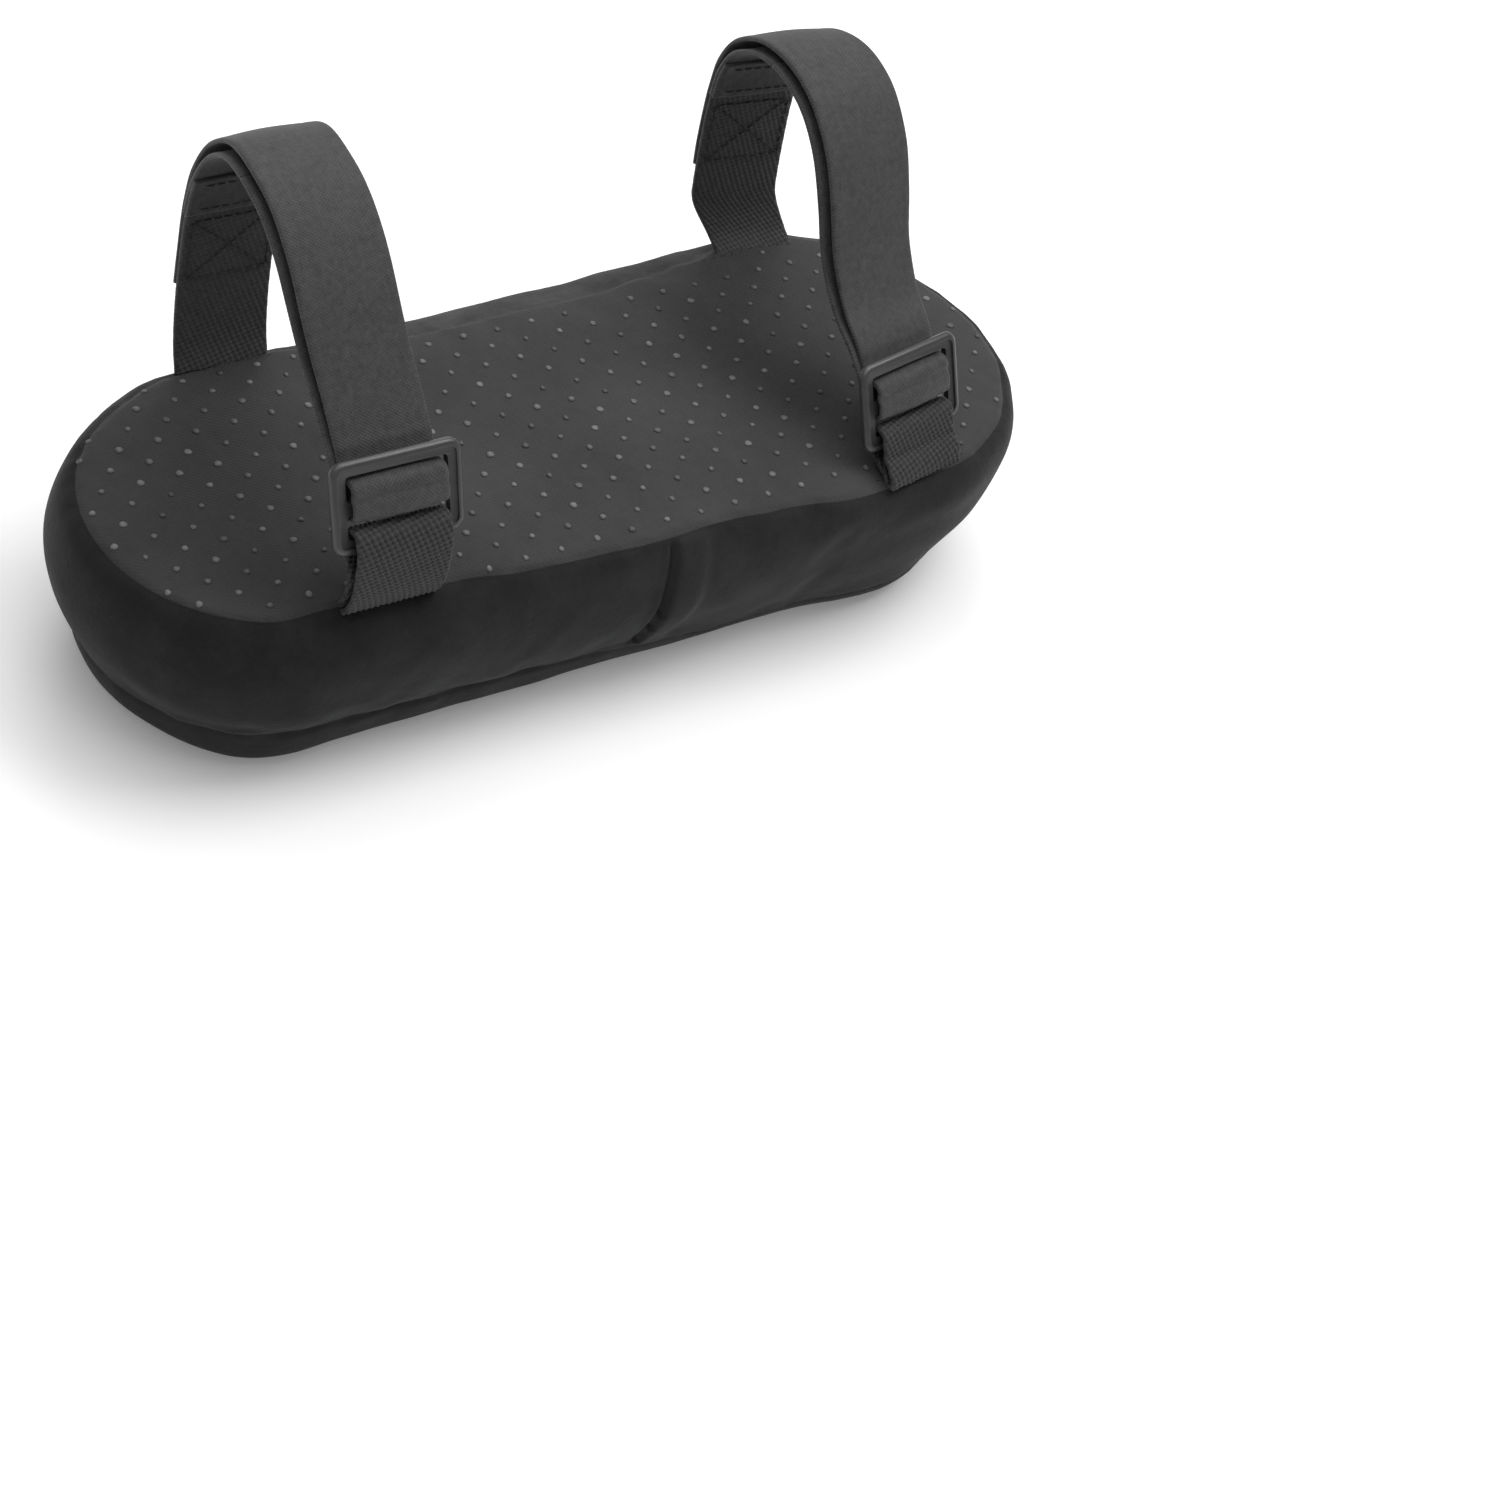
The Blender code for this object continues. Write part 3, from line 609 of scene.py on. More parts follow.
def push_outline(points, runs):
    """Push the wall and its upper seam in or out, by the tables of shifts along the pad."""
    ring = np.array(stadium(0.0, 0.0))
    outward = np.array(stadium(0.0, 1.0)) - ring
    near = ring[:, 1] < 0.0
    seam = np.where(near, table_value(NEAR_SEAM_SHIFT, ring[:, 0]), table_value(FAR_SEAM_SHIFT, ring[:, 0]))
    wall = np.where(near, table_value(NEAR_WALL_SHIFT, ring[:, 0]), table_value(FAR_WALL_SHIFT, ring[:, 0]))
    low = table_value(LOW_WALL_SHIFT, ring[:, 0])
    levels = len(points) // COLUMNS
    past = runs - BASE_RUN
    reach = np.where(past < 0.0, np.where(np.tile(near, levels), 6.0, 2.8), 13.0)
    seam_weight = bell(past, reach)
    wall_weight = smooth_step((points[:, 2] - 31.0) / 12.0) * bell(np.maximum(past, 0.0), 13.0)
    low_weight = smooth_step((31.0 - points[:, 2]) / 20.0)
    shift = np.tile(seam, levels) * seam_weight + np.tile(wall, levels) * wall_weight
    shift += np.tile(low, levels) * low_weight
    pushed = points + np.tile(outward, (levels, 1)) * shift[:, None]
    rise = np.tile(table_value(PLUSH_SEAM_RISE, ring[:, 0]), levels)
    pushed[:, 2] += rise * bell(runs - PLUSH_RUN, 7.0)
    return pushed


def table_value(table, place):
    """Value of a table of (place, value) pairs, eased between its rows."""
    places, values = np.array(table, float).T
    index = np.clip(np.searchsorted(places, place) - 1, 0, len(places) - 2)
    share = smooth_step((place - places[index]) / (places[index + 1] - places[index]))
    return values[index] + (values[index + 1] - values[index]) * share


def cushion_cage():
    """The skin as a coarse closed cage of rings: plush cap, wall and base cap."""
    points = push_outline(np.concatenate([stadium(*level) for level in LEVELS]), np.repeat(RUNS, COLUMNS))
    faces = ring_faces(len(LEVELS), COLUMNS)
    far_left = 2 * STRAIGHT_STEPS + END_STEPS
    cap = [(i, i + 1, far_left - i - 1, far_left - i) for i in range(STRAIGHT_STEPS)]
    cap.append(tuple(range(STRAIGHT_STEPS, STRAIGHT_STEPS + END_STEPS + 1)))
    cap.append(tuple(range(far_left, COLUMNS)) + (0,))
    top = (len(LEVELS) - 1) * COLUMNS
    faces += [tuple(reversed(face)) for face in cap]
    faces += [tuple(top + corner for corner in face) for face in cap]
    return points, faces


# Distance along the profile at each level, from the middle of the plush face to the base's
RUNS = path_lengths(LEVELS)
PLUSH_RUN = RUNS[LEVELS.index(PLUSH_SEAM)]
BASE_RUN = RUNS[LEVELS.index(BASE_SEAM)]


def swell(item, points, runs):
    """Swell the skin by cloth simulation, with its seams and the middles of its faces held."""
    seams = np.minimum(np.abs(runs - PLUSH_RUN), np.abs(runs - BASE_RUN)) < 0.3
    held = seams | (np.abs(points[:, 1]) < 14.0) & ((points[:, 2] < 0.1) | (points[:, 2] > HEIGHT - 0.1))
    group = item.vertex_groups.new(name="held")
    group.add([int(index) for index in np.flatnonzero(held)], 1.0, "REPLACE")
    cloth = item.modifiers.new("swell", "CLOTH")
    settings = cloth.settings
    settings.quality = 5
    settings.use_pressure = True
    settings.uniform_pressure_force = SWELL_PRESSURE
    settings.vertex_group_mass = "held"
    settings.mass = 0.05
    settings.shrink_min = -0.005
    settings.effector_weights.gravity = 0.0
    cloth.point_cache.frame_end = SWELL_FRAMES
    scene = bpy.context.scene
    for number in range(1, SWELL_FRAMES + 1):
        scene.frame_set(number)
    swollen = get_points(evaluated_mesh(item))
    item.modifiers.remove(cloth)
    item.vertex_groups.remove(group)
    scene.frame_set(1)
    return swollen


def limit_travel(start, moved, normals, limit):
    """Points moved no further than their limits, easing towards them, and hardly at all inwards."""
    travel = moved - start
    inwards = np.minimum(np.sum(travel * normals, axis=1) + 0.3, 0.0)
    travel = travel - normals * inwards[:, None]
    length = np.maximum(np.linalg.norm(travel, axis=1), 1e-9)
    return start + travel * (limit * np.tanh(length / limit) / length)[:, None]


def near_slot(points, past_ends, past_edges):
    """Which points lie at the zip's slot, or within the given distances of its ends and edges."""
    along = np.abs(points[:, 0]) < ZIP_SLOT_HALF_LENGTH + past_ends
    beside = np.abs(points[:, 2] - ZIP_HEIGHT) < ZIP_SLOT_HALF_HEIGHT + past_edges
    return along & beside & (points[:, 1] > FAR_SIDE_Y)


def shape_zip_lips(points):
    """Draw the skin in to the zip along the slot's two edges and at its ends."""
    along = smooth_step((ZIP_SLOT_HALF_LENGTH + 11.0 - np.abs(points[:, 0])) / 8.0)
    height = np.abs(points[:, 2] - ZIP_HEIGHT)
    near = bell(np.maximum(height - ZIP_SLOT_HALF_HEIGHT, 0.0), 1.6)
    weight = along * near * (points[:, 1] > FAR_SIDE_Y)
    moved = points.copy()
    moved[:, 1] += (np.minimum(points[:, 1], ZIP_LIP_Y) - points[:, 1]) * weight
    return moved


def fabric_relief(points, runs):
    """How far the sewn skin stands in or out: its seams with their puckers, and soft lumps."""
    flat = points * np.array([1.0, 1.0, 0.0])
    total = np.zeros(len(points))
    drawn = smooth_step((points[:, 0] + 108.0) / 26.0) * smooth_step((20.0 - points[:, 0]) / 60.0)
    for seed, seam, depth in ((0, PLUSH_RUN, 0.15 + 0.5 * drawn), (1, BASE_RUN, 0.5)):
        away = np.abs(runs - seam)
        total -= depth * bell(away, 1.3)
        total += 0.16 * wander(flat, 3.4, seed + 1) * np.exp(-away / 3.5)
        total += 0.3 * wander(flat, 12.0, seed + 4) * np.exp(-away / 11.0)
    band = smooth_step((runs - PLUSH_RUN) / 8.0) * smooth_step((BASE_RUN - runs) / 8.0)
    total += (0.38 * wander(points, 30.0, 8) + 0.14 * wander(points, 11.0, 10)) * band
    base = smooth_step((runs - BASE_RUN - 6.0) / 10.0)
    total += 0.35 * wander(points, 34.0, 9) * base
    return total + closing_seam_relief(points, runs)


def closing_seam_relief(points, runs):
    """The side band's closing seam: drawn in on its left, its turned edges raised on its right."""
    between = (runs > PLUSH_RUN - 0.5) & (runs < BASE_RUN + 0.5) & (points[:, 1] < 0.0)
    side = points[:, 0] - CLOSING_SEAM_X + 2.6 * smooth_step((32.0 - points[:, 2]) / 20.0)
    left = -1.5 * np.exp(np.minimum(side, 0.0) / 6.5)
    right = 0.85 * smooth_step((11.0 - side) / 4.0)
    fold = np.where(side < 0.0, left, right) - 0.7 * bell(side, 0.8) + 0.35 * bell(side + 2.2, 0.9)
    fade = smooth_step((runs - PLUSH_RUN) / 3.0) * smooth_step((BASE_RUN - runs) / 3.0)
    return fold * fade * between


def make_skin():
    """The whole swollen and detailed skin: its points, its faces and each point's place on the profile."""
    points, faces = cushion_cage()
    runs = np.repeat(RUNS, COLUMNS)
    cage = make_mesh("skin_cage", points, faces, None)
    swollen = swell(cage, points, runs)
    limit = SWELL_LIMIT * (1.0 - 0.7 * np.exp(-np.abs(runs - PLUSH_RUN) / 5.0))
    points = limit_travel(points, swollen, get_normals(cage.data), limit)
    points = shape_zip_lips(points)
    cage.data.vertices.foreach_set("co", (points * MM).ravel())
    set_attribute(cage, "run", runs)
    rounding = cage.modifiers.new("rounding", "SUBSURF")
    rounding.levels = 2
    fine = evaluated_mesh(cage)
    fine_points, fine_normals = get_points(fine), get_normals(fine)
    fine_runs = np.zeros(len(fine.vertices))
    fine.attributes["run"].data.foreach_get("value", fine_runs)
    fine_faces = np.zeros(len(fine.polygons) * 4, int)
    fine.polygons.foreach_get("vertices", fine_faces)
    bpy.data.objects.remove(cage)
    relief = fabric_relief(fine_points, fine_runs) * ~near_slot(fine_points, 8.0, 2.0)
    fine_points = fine_points + fine_normals * relief[:, None]
    fine_points[:, 2] = np.maximum(fine_points[:, 2], 0.0)
    return fine_points, fine_faces.reshape(-1, 4), fine_runs


def cut_panel(name, points, faces, keep, material):
    """One sewn panel, cut out of the skin along its seams."""
    kept = faces[keep]
    used, renumbered = np.unique(kept, return_inverse=True)
    panel = make_mesh(name, points[used], renumbered.reshape(-1, 4), material)
    thicken(panel, COVER_THICKNESS)
    return panel


def make_cushion():
    """The plush top panel, side band, grip base with its dots, and the foam inside."""
    points, faces, runs = make_skin()
    middle_run = runs[faces].mean(axis=1)
    centre = points[faces].mean(axis=1)
    slot = (np.abs(centre[:, 0]) < ZIP_SLOT_HALF_LENGTH) & (centre[:, 1] > FAR_SIDE_Y)
    low_edge, high_edge = (RUNS[LEVELS.index(level)] for level in ZIP_SLOT_LEVELS)
    slot &= (middle_run > low_edge) & (middle_run < high_edge)
    plush = middle_run < PLUSH_RUN
    base = middle_run > BASE_RUN
    band = ~plush & ~base & ~slot
    for name, keep, material, node in (("plush_top_panel", plush, "velour", "cover_top_panel"),
                                       ("plush_side_band", band, "velour", "cover_side_band"),
                                       ("grip_base_panel", base, "grip_fabric", "base_panel")):
        panel = cut_panel(name, points, faces, keep, material)
        dress(panel, "pad", material, node)
    skin = BVHTree.FromPolygons([tuple(point) for point in points], [tuple(face) for face in faces.tolist()])
    make_dots(skin)
    make_seam_threads(skin)
    make_foam_block()


def dress(item, body, slot=None, *nodes):
    """Let a piece ride on a body and hide the CAD nodes it stands for."""
    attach(item, body)
    if nodes:
        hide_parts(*nodes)
    return item


def make_foam_block():
    """The foam inside the cover, with its relief behind the zip."""
    points, faces = cushion_cage()
    block = make_mesh("foam_block", points, faces, "foam")
    normals = get_normals(block.data)
    points = points - normals * FOAM_INSET
    behind = near_slot(points, 6.0, 3.9)
    points[behind, 1] = np.minimum(points[behind, 1], FOAM_Y_BEHIND_ZIP)
    block.data.vertices.foreach_set("co", (points * MM).ravel())
    dress(block, "pad", "foam", "foam_core")


def dot_places():
    """Centres of the grip dots on the base."""
    places = []
    for row in range(-40, 41):
        for column in range(-40, 41):
            x = DOT_ORIGIN[0] + DOT_PITCH[0] * column / 2.0
            y = DOT_ORIGIN[1] + DOT_PITCH[1] * row / 2.0
            past_straight = max(abs(x) - (HALF_LENGTH - HALF_WIDTH), 0.0)
            shift = table_value(NEAR_SEAM_SHIFT if y < 0.0 else FAR_SEAM_SHIFT, np.array([x]))[0]
            inside = math.hypot(past_straight, y) < HALF_WIDTH + shift - 1.9
            if (row + column) % 2 == 0 and inside:
                places.append((x, y))
    return places


def make_dots(skin):
    """The raised grip dots, as one piece printed on the base."""
    draw = random.Random(7)
    segments, rings = 12, 4
    points, faces, tones = [], [], []
    for x, y in dot_places():
        found, normal, _, _ = skin.ray_cast(Vector((x, y, 80.0)), Vector((0.0, 0.0, -1.0)))
        side = normal.cross(Vector((0.0, 1.0, 0.0))).normalized()
        other = normal.cross(side)
        radius = DOT_RADIUS * draw.uniform(0.82, 1.12)
        oval = draw.uniform(0.86, 1.1)
        height = DOT_HEIGHT * draw.uniform(0.8, 1.15)
        tone = min(max(draw.gauss(0.5, 0.26), 0.0), 1.0)
        first = len(points)
        for ring in range(rings):
            lift = math.pi / 2 * ring / rings
            for segment in range(segments):
                angle = 2.0 * math.pi * segment / segments
                out = radius * math.cos(lift) * (1.0 + 0.05 * math.sin(3 * angle + 9 * tone))
                rise = height * math.sin(lift) - 0.12 * (ring == 0)
                points.append(found + side * (out * math.cos(angle) * oval) + other * (out * math.sin(angle))
                              + normal * rise)
        points.append(found + normal * height)
        tones += [tone] * (segments * rings + 1)
        faces += tube_faces(rings, segments, first)
        top = faces.pop()
        faces += [(corner, after, len(points) - 1) for corner, after in zip(top, top[1:] + top[:1])]
    dots = make_mesh("grip_dots", points, faces, "dots")
    set_attribute(dots, "tone", tones)
    dress(dots, "pad")


# ---------------------------------------------------------------- threads


def make_stitches(name, stitches, material, radius=THREAD_RADIUS, sink=0.35, rise=0.22):
    """Short threads, each (start, end, outward direction), that rise out of the cloth and go back in."""
    sides = 6
    lifts = (-sink, rise * 0.6, rise, rise * 0.6, -sink)
    places = (0.0, 0.12, 0.5, 0.88, 1.0)
    points, faces = [], []
    for start, end, outward in stitches:
        start, end, outward = (np.array(value, float) for value in (start, end, outward))
        across = np.cross(outward, end - start)
        across /= np.linalg.norm(across)
        first = len(points)
        for lift, place in zip(lifts, places):
            centre = start + (end - start) * place + outward * lift
            for side in range(sides):
                angle = 2.0 * math.pi * side / sides
                points.append(centre + radius * (across * math.cos(angle) + outward * math.sin(angle)))
        faces += tube_faces(len(places), sides, first)
    return make_mesh(name, points, faces, material)


def along_ring(level, pitch):
    """Points at even steps round the outline at one level."""
    ring = stadium(*level)
    ring = np.array(ring + ring[:1])
    return at_lengths(ring, np.arange(0.0, path_lengths(ring)[-1], pitch))


def make_seam_threads(skin):
    """The threads that show: all along the plush seam, and on the base seam where webbing is sewn in."""
    for name, level in (("plush_seam_thread", PLUSH_SEAM), ("base_seam_thread", BASE_SEAM)):
        stitches = []
        for place in along_ring(level, 2.9):
            under_webbing = min(abs(place[0] - loop["x"]) for loop in LOOPS.values()) < 15.0
            if level == BASE_SEAM and not under_webbing:
                continue
            if level == PLUSH_SEAM:
                place[2] += table_value(PLUSH_SEAM_RISE, place[:1])[0]
            found, normal, _, _ = skin.find_nearest(Vector(place))
            ahead = Vector((0.0, 0.0, 1.0)).cross(normal).normalized()
            stitches.append((found - ahead * 1.0, found + ahead * 1.0, normal))
        dress(make_stitches(name, stitches, "thread", 0.12, 0.3, -0.08), "pad")


# ---------------------------------------------------------------- paths


def smooth_path(points, step):
    """A curve through (y, z) points, sampled at even steps."""
    points = np.array(points, float)
    ends = np.vstack([2 * points[0] - points[1], points, 2 * points[-1] - points[-2]])
    samples = []
    for before, start, end, after in zip(ends[:-3], ends[1:-2], ends[2:-1], ends[3:]):
        for t in np.linspace(0.0, 1.0, 14, endpoint=False):
            samples.append(0.5 * (2 * start + (end - before) * t
                                  + (2 * before - 5 * start + 4 * end - after) * t ** 2
                                  + (3 * start - before - 3 * end + after) * t ** 3))
    samples.append(points[-1])
    return trim(np.array(samples), 0.0, None, step)


def trim(path, start, end, step):
    """The stretch of a path between two distances along it, at even steps; end None is its end."""
    end = path_lengths(path)[-1] if end is None else end
    return at_lengths(path, np.linspace(start, end, max(2, int(round((end - start) / step)) + 1)))


def path_normals(path):
    """Unit vectors square to the path, to its left."""
    tangent = np.gradient(path, axis=0)
    tangent /= np.linalg.norm(tangent, axis=1)[:, None]
    return np.stack([-tangent[:, 1], tangent[:, 0]], axis=1)


def offset_path(path, distance):
    """The path moved to its left, by one distance or by one for each point."""
    distance = np.broadcast_to(distance, len(path))
    return path + path_normals(path) * distance[:, None]


def arc(centre, radius, start, end, steps=7):
    """Points of a circular arc, with its angles in degrees."""
    angles = np.radians(np.linspace(start, end, steps))
    return [(centre[0] + radius * math.cos(a), centre[1] + radius * math.sin(a)) for a in angles]


def buckle_to_pad(loop, points):
    """Take (up the buckle, outwards from it) points to (y, z) of the pad."""
    lean = math.radians(loop["buckle_lean"])
    along = np.array([math.sin(lean), math.cos(lean)])
    outward = np.array([-math.cos(lean), math.sin(lean)])
    foot = np.array(loop["buckle_foot"]) + np.array([0.0, HEIGHT])
    return [tuple(foot + along * up + outward * out) for up, out in points]


def yawed(loop, points):
    """Turn a loop's points about its centre line, by the loop's yaw at each leg, and let it sway."""
    points = np.asarray(points, float)
    near_yaw, far_yaw = loop["yaw"]
    share = smooth_step((points[:, 1] + 30.0) / 78.0)
    angle = np.radians(near_yaw + (far_yaw - near_yaw) * share)
    height = points[:, 2] - HEIGHT
    across = points[:, 0] - loop["x"]
    turned = points.copy()
    turned[:, 0] = loop["x"] + across * np.cos(angle)
    turned[:, 1] = points[:, 1] + across * np.sin(angle)
    near_leg = smooth_step((46.0 - points[:, 1]) / 25.0)
    turned[:, 0] += loop["sway"] * smooth_step((height - 36.0) / 26.0) * near_leg
    foot = smooth_step((15.0 - height) / 16.0) * (points[:, 1] > 0.0)
    turned[:, 0] += (loop["foot_slide"] - 0.02 * loop["foot_slide"] * across) * foot
    return turned


# ---------------------------------------------------------------- webbing


def coarse_weave(across, along):
    """Height of the coarse webbing's surface: steep diagonal ribs crossed by finer weft."""
    rib, weft, height = COARSE_RIB
    ribs = np.cos(2.0 * math.pi * (across / rib + along / (2.4 * rib)))
    crossings = np.cos(2.0 * math.pi * (along / weft - across / (4.0 * rib)))
    return height * (0.32 * ribs + 0.26 * crossings)


def worn_weave(across, along):
    """The anchors' flatter surface, pressed by the strap sewn on it."""
    return 0.55 * coarse_weave(across, along)


def soft_strap(across, along):
    """Height of the fine strap's surface: selvedges and a slight unevenness."""
    edge = bell(WEBBING_WIDTH / 2 - 1.2 - np.abs(across), 0.8)
    return 0.12 * edge + 0.07 * np.sin(along / 6.1 + across / 4.0) + 0.05 * np.sin(along / 2.3)


# Kinds of webbing: (thickness, material, relief, spacing of the points across)
FINE = (STRAP_THICKNESS, "strap_webbing", soft_strap, 1.1)
COARSE = (COARSE_THICKNESS - 0.1, "coarse_webbing", coarse_weave, 0.3)
# The anchors' kind: pressed flatter, in the lighter painted-light copy of the coarse webbing.
PRESSED_AND_PAINTED_LIGHT = (COARSE_THICKNESS - 0.1, "anchor_webbing", worn_weave, 0.3)


def make_ribbon(name, loop, path, kind, bow=0.0, aside=0.0):
    """A flat band with rounded edges that follows a path; its weave coordinates, and a painted shade taken
    from the rib height, are stored on it.
    """
    thickness, material, relief, spacing = kind
    half = thickness / 2.0
    flat_half = WEBBING_WIDTH / 2.0 - half
    flat = np.linspace(-flat_half, flat_half, int(2 * flat_half / spacing) + 1)
    bend = np.radians(np.linspace(90.0, -90.0, 5))[1:-1]
    edge = flat_half + half * np.cos(bend)
    across = np.concatenate([flat, edge, flat[::-1], -edge])
    level = np.concatenate([np.ones(len(flat)), np.sin(bend), -np.ones(len(flat)), -np.sin(bend)])
    run, normals = path_lengths(path), path_normals(path)
    grid_across = np.broadcast_to(across, (len(path), len(across)))
    grid_along = np.broadcast_to(run[:, None], grid_across.shape)
    face = np.clip(np.abs(level) * 2.0 - 1.0, 0.0, 1.0) * np.sign(level)
    raised = relief(grid_across, grid_along)
    lift = half * level + raised * face
    lift = lift + bow * (np.cos(grid_across / WEBBING_WIDTH * math.pi) - 0.6)
    y = path[:, 0][:, None] + normals[:, 0][:, None] * lift
    z = path[:, 1][:, None] + normals[:, 1][:, None] * lift
    points = np.stack([loop["x"] + aside + grid_across, y, z], axis=-1).reshape(-1, 3)
    item = make_mesh(name, yawed(loop, points), tube_faces(len(path), len(across)), material)
    # Painted shade from the rib height: darker in the hollows, lighter on the crowns.
    shade = np.clip(0.5 + raised / COARSE_RIB[2], 0.0, 1.0)
    weave = np.stack([grid_across, grid_along, shade], axis=-1)
    set_attribute(item, "weave", weave.reshape(-1, 3))
    return item


def sewn_line(loop, path, corners, out):
    """Stitches along a line of (across, along) corners on a ribbon, on the side that out points to."""
    run, normals = path_lengths(path), path_normals(path)
    columns = np.hstack([path + normals * out, normals * np.sign(out)]).T
    stitches = []
    for start, end in zip(corners[:-1], corners[1:]):
        start, end = np.array(start, float), np.array(end, float)
        length = np.linalg.norm(end - start)
        count = max(1, int(round(length / STITCH_PITCH)))
        reach = (end - start) / length * STITCH_LENGTH / 2
        for number in range(count):
            middle = start + (end - start) * (number + 0.5) / count
            ends = []
            for across, along in (middle - reach, middle + reach):
                y, z = (np.interp(along, run, column) for column in columns[:2])
                ends.append((loop["x"] + across, y, z))
            outward = [np.interp(middle[1], run, column) for column in columns[2:]]
            stitches.append((*yawed(loop, ends), (0.0, *outward)))
    return stitches


def fold_points():
    """Path of the strap through the buckle, from the loop, over the middle bar and back out."""
    slot_up = BUCKLE_SLOTS[0][1] - 1.1
    incoming = [(23.5, -4.6), (20.8, -4.0), (18.6, -3.2), (17.5, -1.6), (17.1, 0.2), (16.4, 1.6),
                (14.9, 2.35)]
    over = [(13.4, 1.95), (11.4, 2.65)] + arc((slot_up + 1.5, 0.9), 1.5, 90, 180, 5)
    under = arc((slot_up + 1.4, -2.5), 1.4, 180, 270, 5)
    outgoing = [(13.0, -3.9), (17.0, -4.2), (20.0, -5.0), (23.5, -6.4)]
    return incoming + over + under + outgoing


def make_tab(side, loop):
    """The coarse tab that is sewn into the near seam and wraps the buckle's lowest bar."""
    centre = np.array(loop["tab"]) + np.array([0.0, HEIGHT])
    spread = COARSE_THICKNESS / 2 + np.linspace(0.15, 0.95, len(centre))
    wrap_up, wrap_foot = BUCKLE_SLOTS[0][0] - 1.0, loop["wrap_foot"]
    wrap = arc((wrap_up, 0.0), TAB_WRAP_RADIUS, 90, -90)
    wrap = [(wrap_foot, TAB_WRAP_RADIUS)] + wrap + [(wrap_foot, -TAB_WRAP_RADIUS)]
    outer = [tuple(point) for point in offset_path(centre, spread)]
    inner = [tuple(point) for point in offset_path(centre, -spread)[::-1]]
    path = smooth_path(outer + buckle_to_pad(loop, wrap) + inner, 0.3)
    tab = make_ribbon(side + "_tab", loop, path, COARSE)
    foot = buckle_to_pad(loop, [(1.8, 0.0)])[0]
    bend = {"start": place(loop, *centre[0]), "end": place(loop, *foot)}
    finish_band(tab, "coarse_webbing", ("pad", side + "_loop"), bend, side + "_tab_webbing")


def place(loop, y, z):
    """A point on a loop's middle plane, in metres."""
    return (loop["x"] * MM, y * MM, z * MM)


def finish_band(item, slot, bodies, bend, *nodes):
    """Hide the CAD nodes a band stands for, and fix its placement in its mesh."""
    if nodes:
        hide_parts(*nodes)
    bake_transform(item)


def make_strap(side, loop):
    """The strap with its roll in the buckle, the tail inside the loop, its hemmed tip and the anchor."""
    fold = smooth_path(buckle_to_pad(loop, fold_points()), 0.6)
    halfway = path_lengths(fold)[-1] * 0.56
    strap_line = [(y, z + HEIGHT) for y, z in loop["strap"]] + buckle_to_pad(loop, [(26.2, -5.7)])
    strap = smooth_path(strap_line + [tuple(point) for point in fold[:1]], 0.8)
    whole = np.vstack([strap[:-1], trim(fold, 0.0, halfway, 0.6)])
    main = make_ribbon(side + "_main_strap", loop, whole, FINE, bow=STRAP_BOW)
    buckle_head = buckle_to_pad(loop, [(20.0, -2.0)])[0]
    before = loop["strap"][-3]
    bend = {"start": place(loop, before[0], before[1] + HEIGHT), "end": place(loop, *buckle_head)}
    bodies = (side + "_loop", side + "_buckle")
    finish_band(main, "strap_webbing", bodies, bend, side + "_strap", side + "_strap_fold")

    run = path_lengths(strap)
    growth = np.clip((run[-1] - run) / TAIL_OFFSET_RUN, 0.0, 1.0)
    inside = offset_path(strap, TAIL_OFFSET_AT_BUCKLE + (TAIL_OFFSET - TAIL_OFFSET_AT_BUCKLE) * growth)[::-1]
    tail = np.vstack([trim(fold, halfway, path_lengths(fold)[-1] - 2.2, 0.6), inside[2:]])
    tail = trim(tail, 0.0, None, 0.8)
    run = path_lengths(tail)
    top = int(np.argmax(tail[:, 1]))
    low_enough = (np.arange(len(tail)) > top) & (tail[:, 1] < TIP_BOTTOM + HEIGHT)
    tip_end = run[int(np.argmax(low_enough))]
    near = trim(tail, 0.0, run[top], 0.8)
    first = make_ribbon(side + "_tail_near", loop, near, FINE, aside=TAIL_ASIDE)
    finish_band(first, "strap_webbing", bodies, bend, side + "_strap_tail")
    rest = trim(tail, run[top], tip_end, 0.8)
    second = make_ribbon(side + "_tail_far", loop, rest, FINE, aside=TAIL_ASIDE)
    slide = {"start": place(loop, rest[0][0] + 3.0, rest[0][1] - 1.0),
             "end": place(loop, rest[-1][0], rest[-1][1] + TIP_LENGTH)}
    finish_band(second, "strap_webbing", (side + "_loop", side + "_tip"), slide)
    make_hem(side, loop, rest)
    make_anchor(side, loop, strap)


def make_hem(side, loop, rest):
    """The turned hem at the tail's end with its two rows of stitches."""
    length = path_lengths(rest)[-1]
    hem_path = offset_path(trim(rest, length - TIP_LENGTH + 1.0, length, 0.8), STRAP_THICKNESS * 0.9 * -1.0)
    hem = make_ribbon(side + "_tail_hem", loop, hem_path, FINE, aside=TAIL_ASIDE)
    dress(hem, side + "_tip", "strap_webbing", side + "_strap_tip")
    hem_length = path_lengths(hem_path)[-1]
    stitches = []
    for along in (2.0, hem_length - 1.8):
        stitches += sewn_line(loop, hem_path, [(-11.0, along), (11.0, along)], -STRAP_THICKNESS / 2 - 0.05)
    dress(make_stitches(side + "_hem_stitches", stitches, "strap_thread"), side + "_tip")


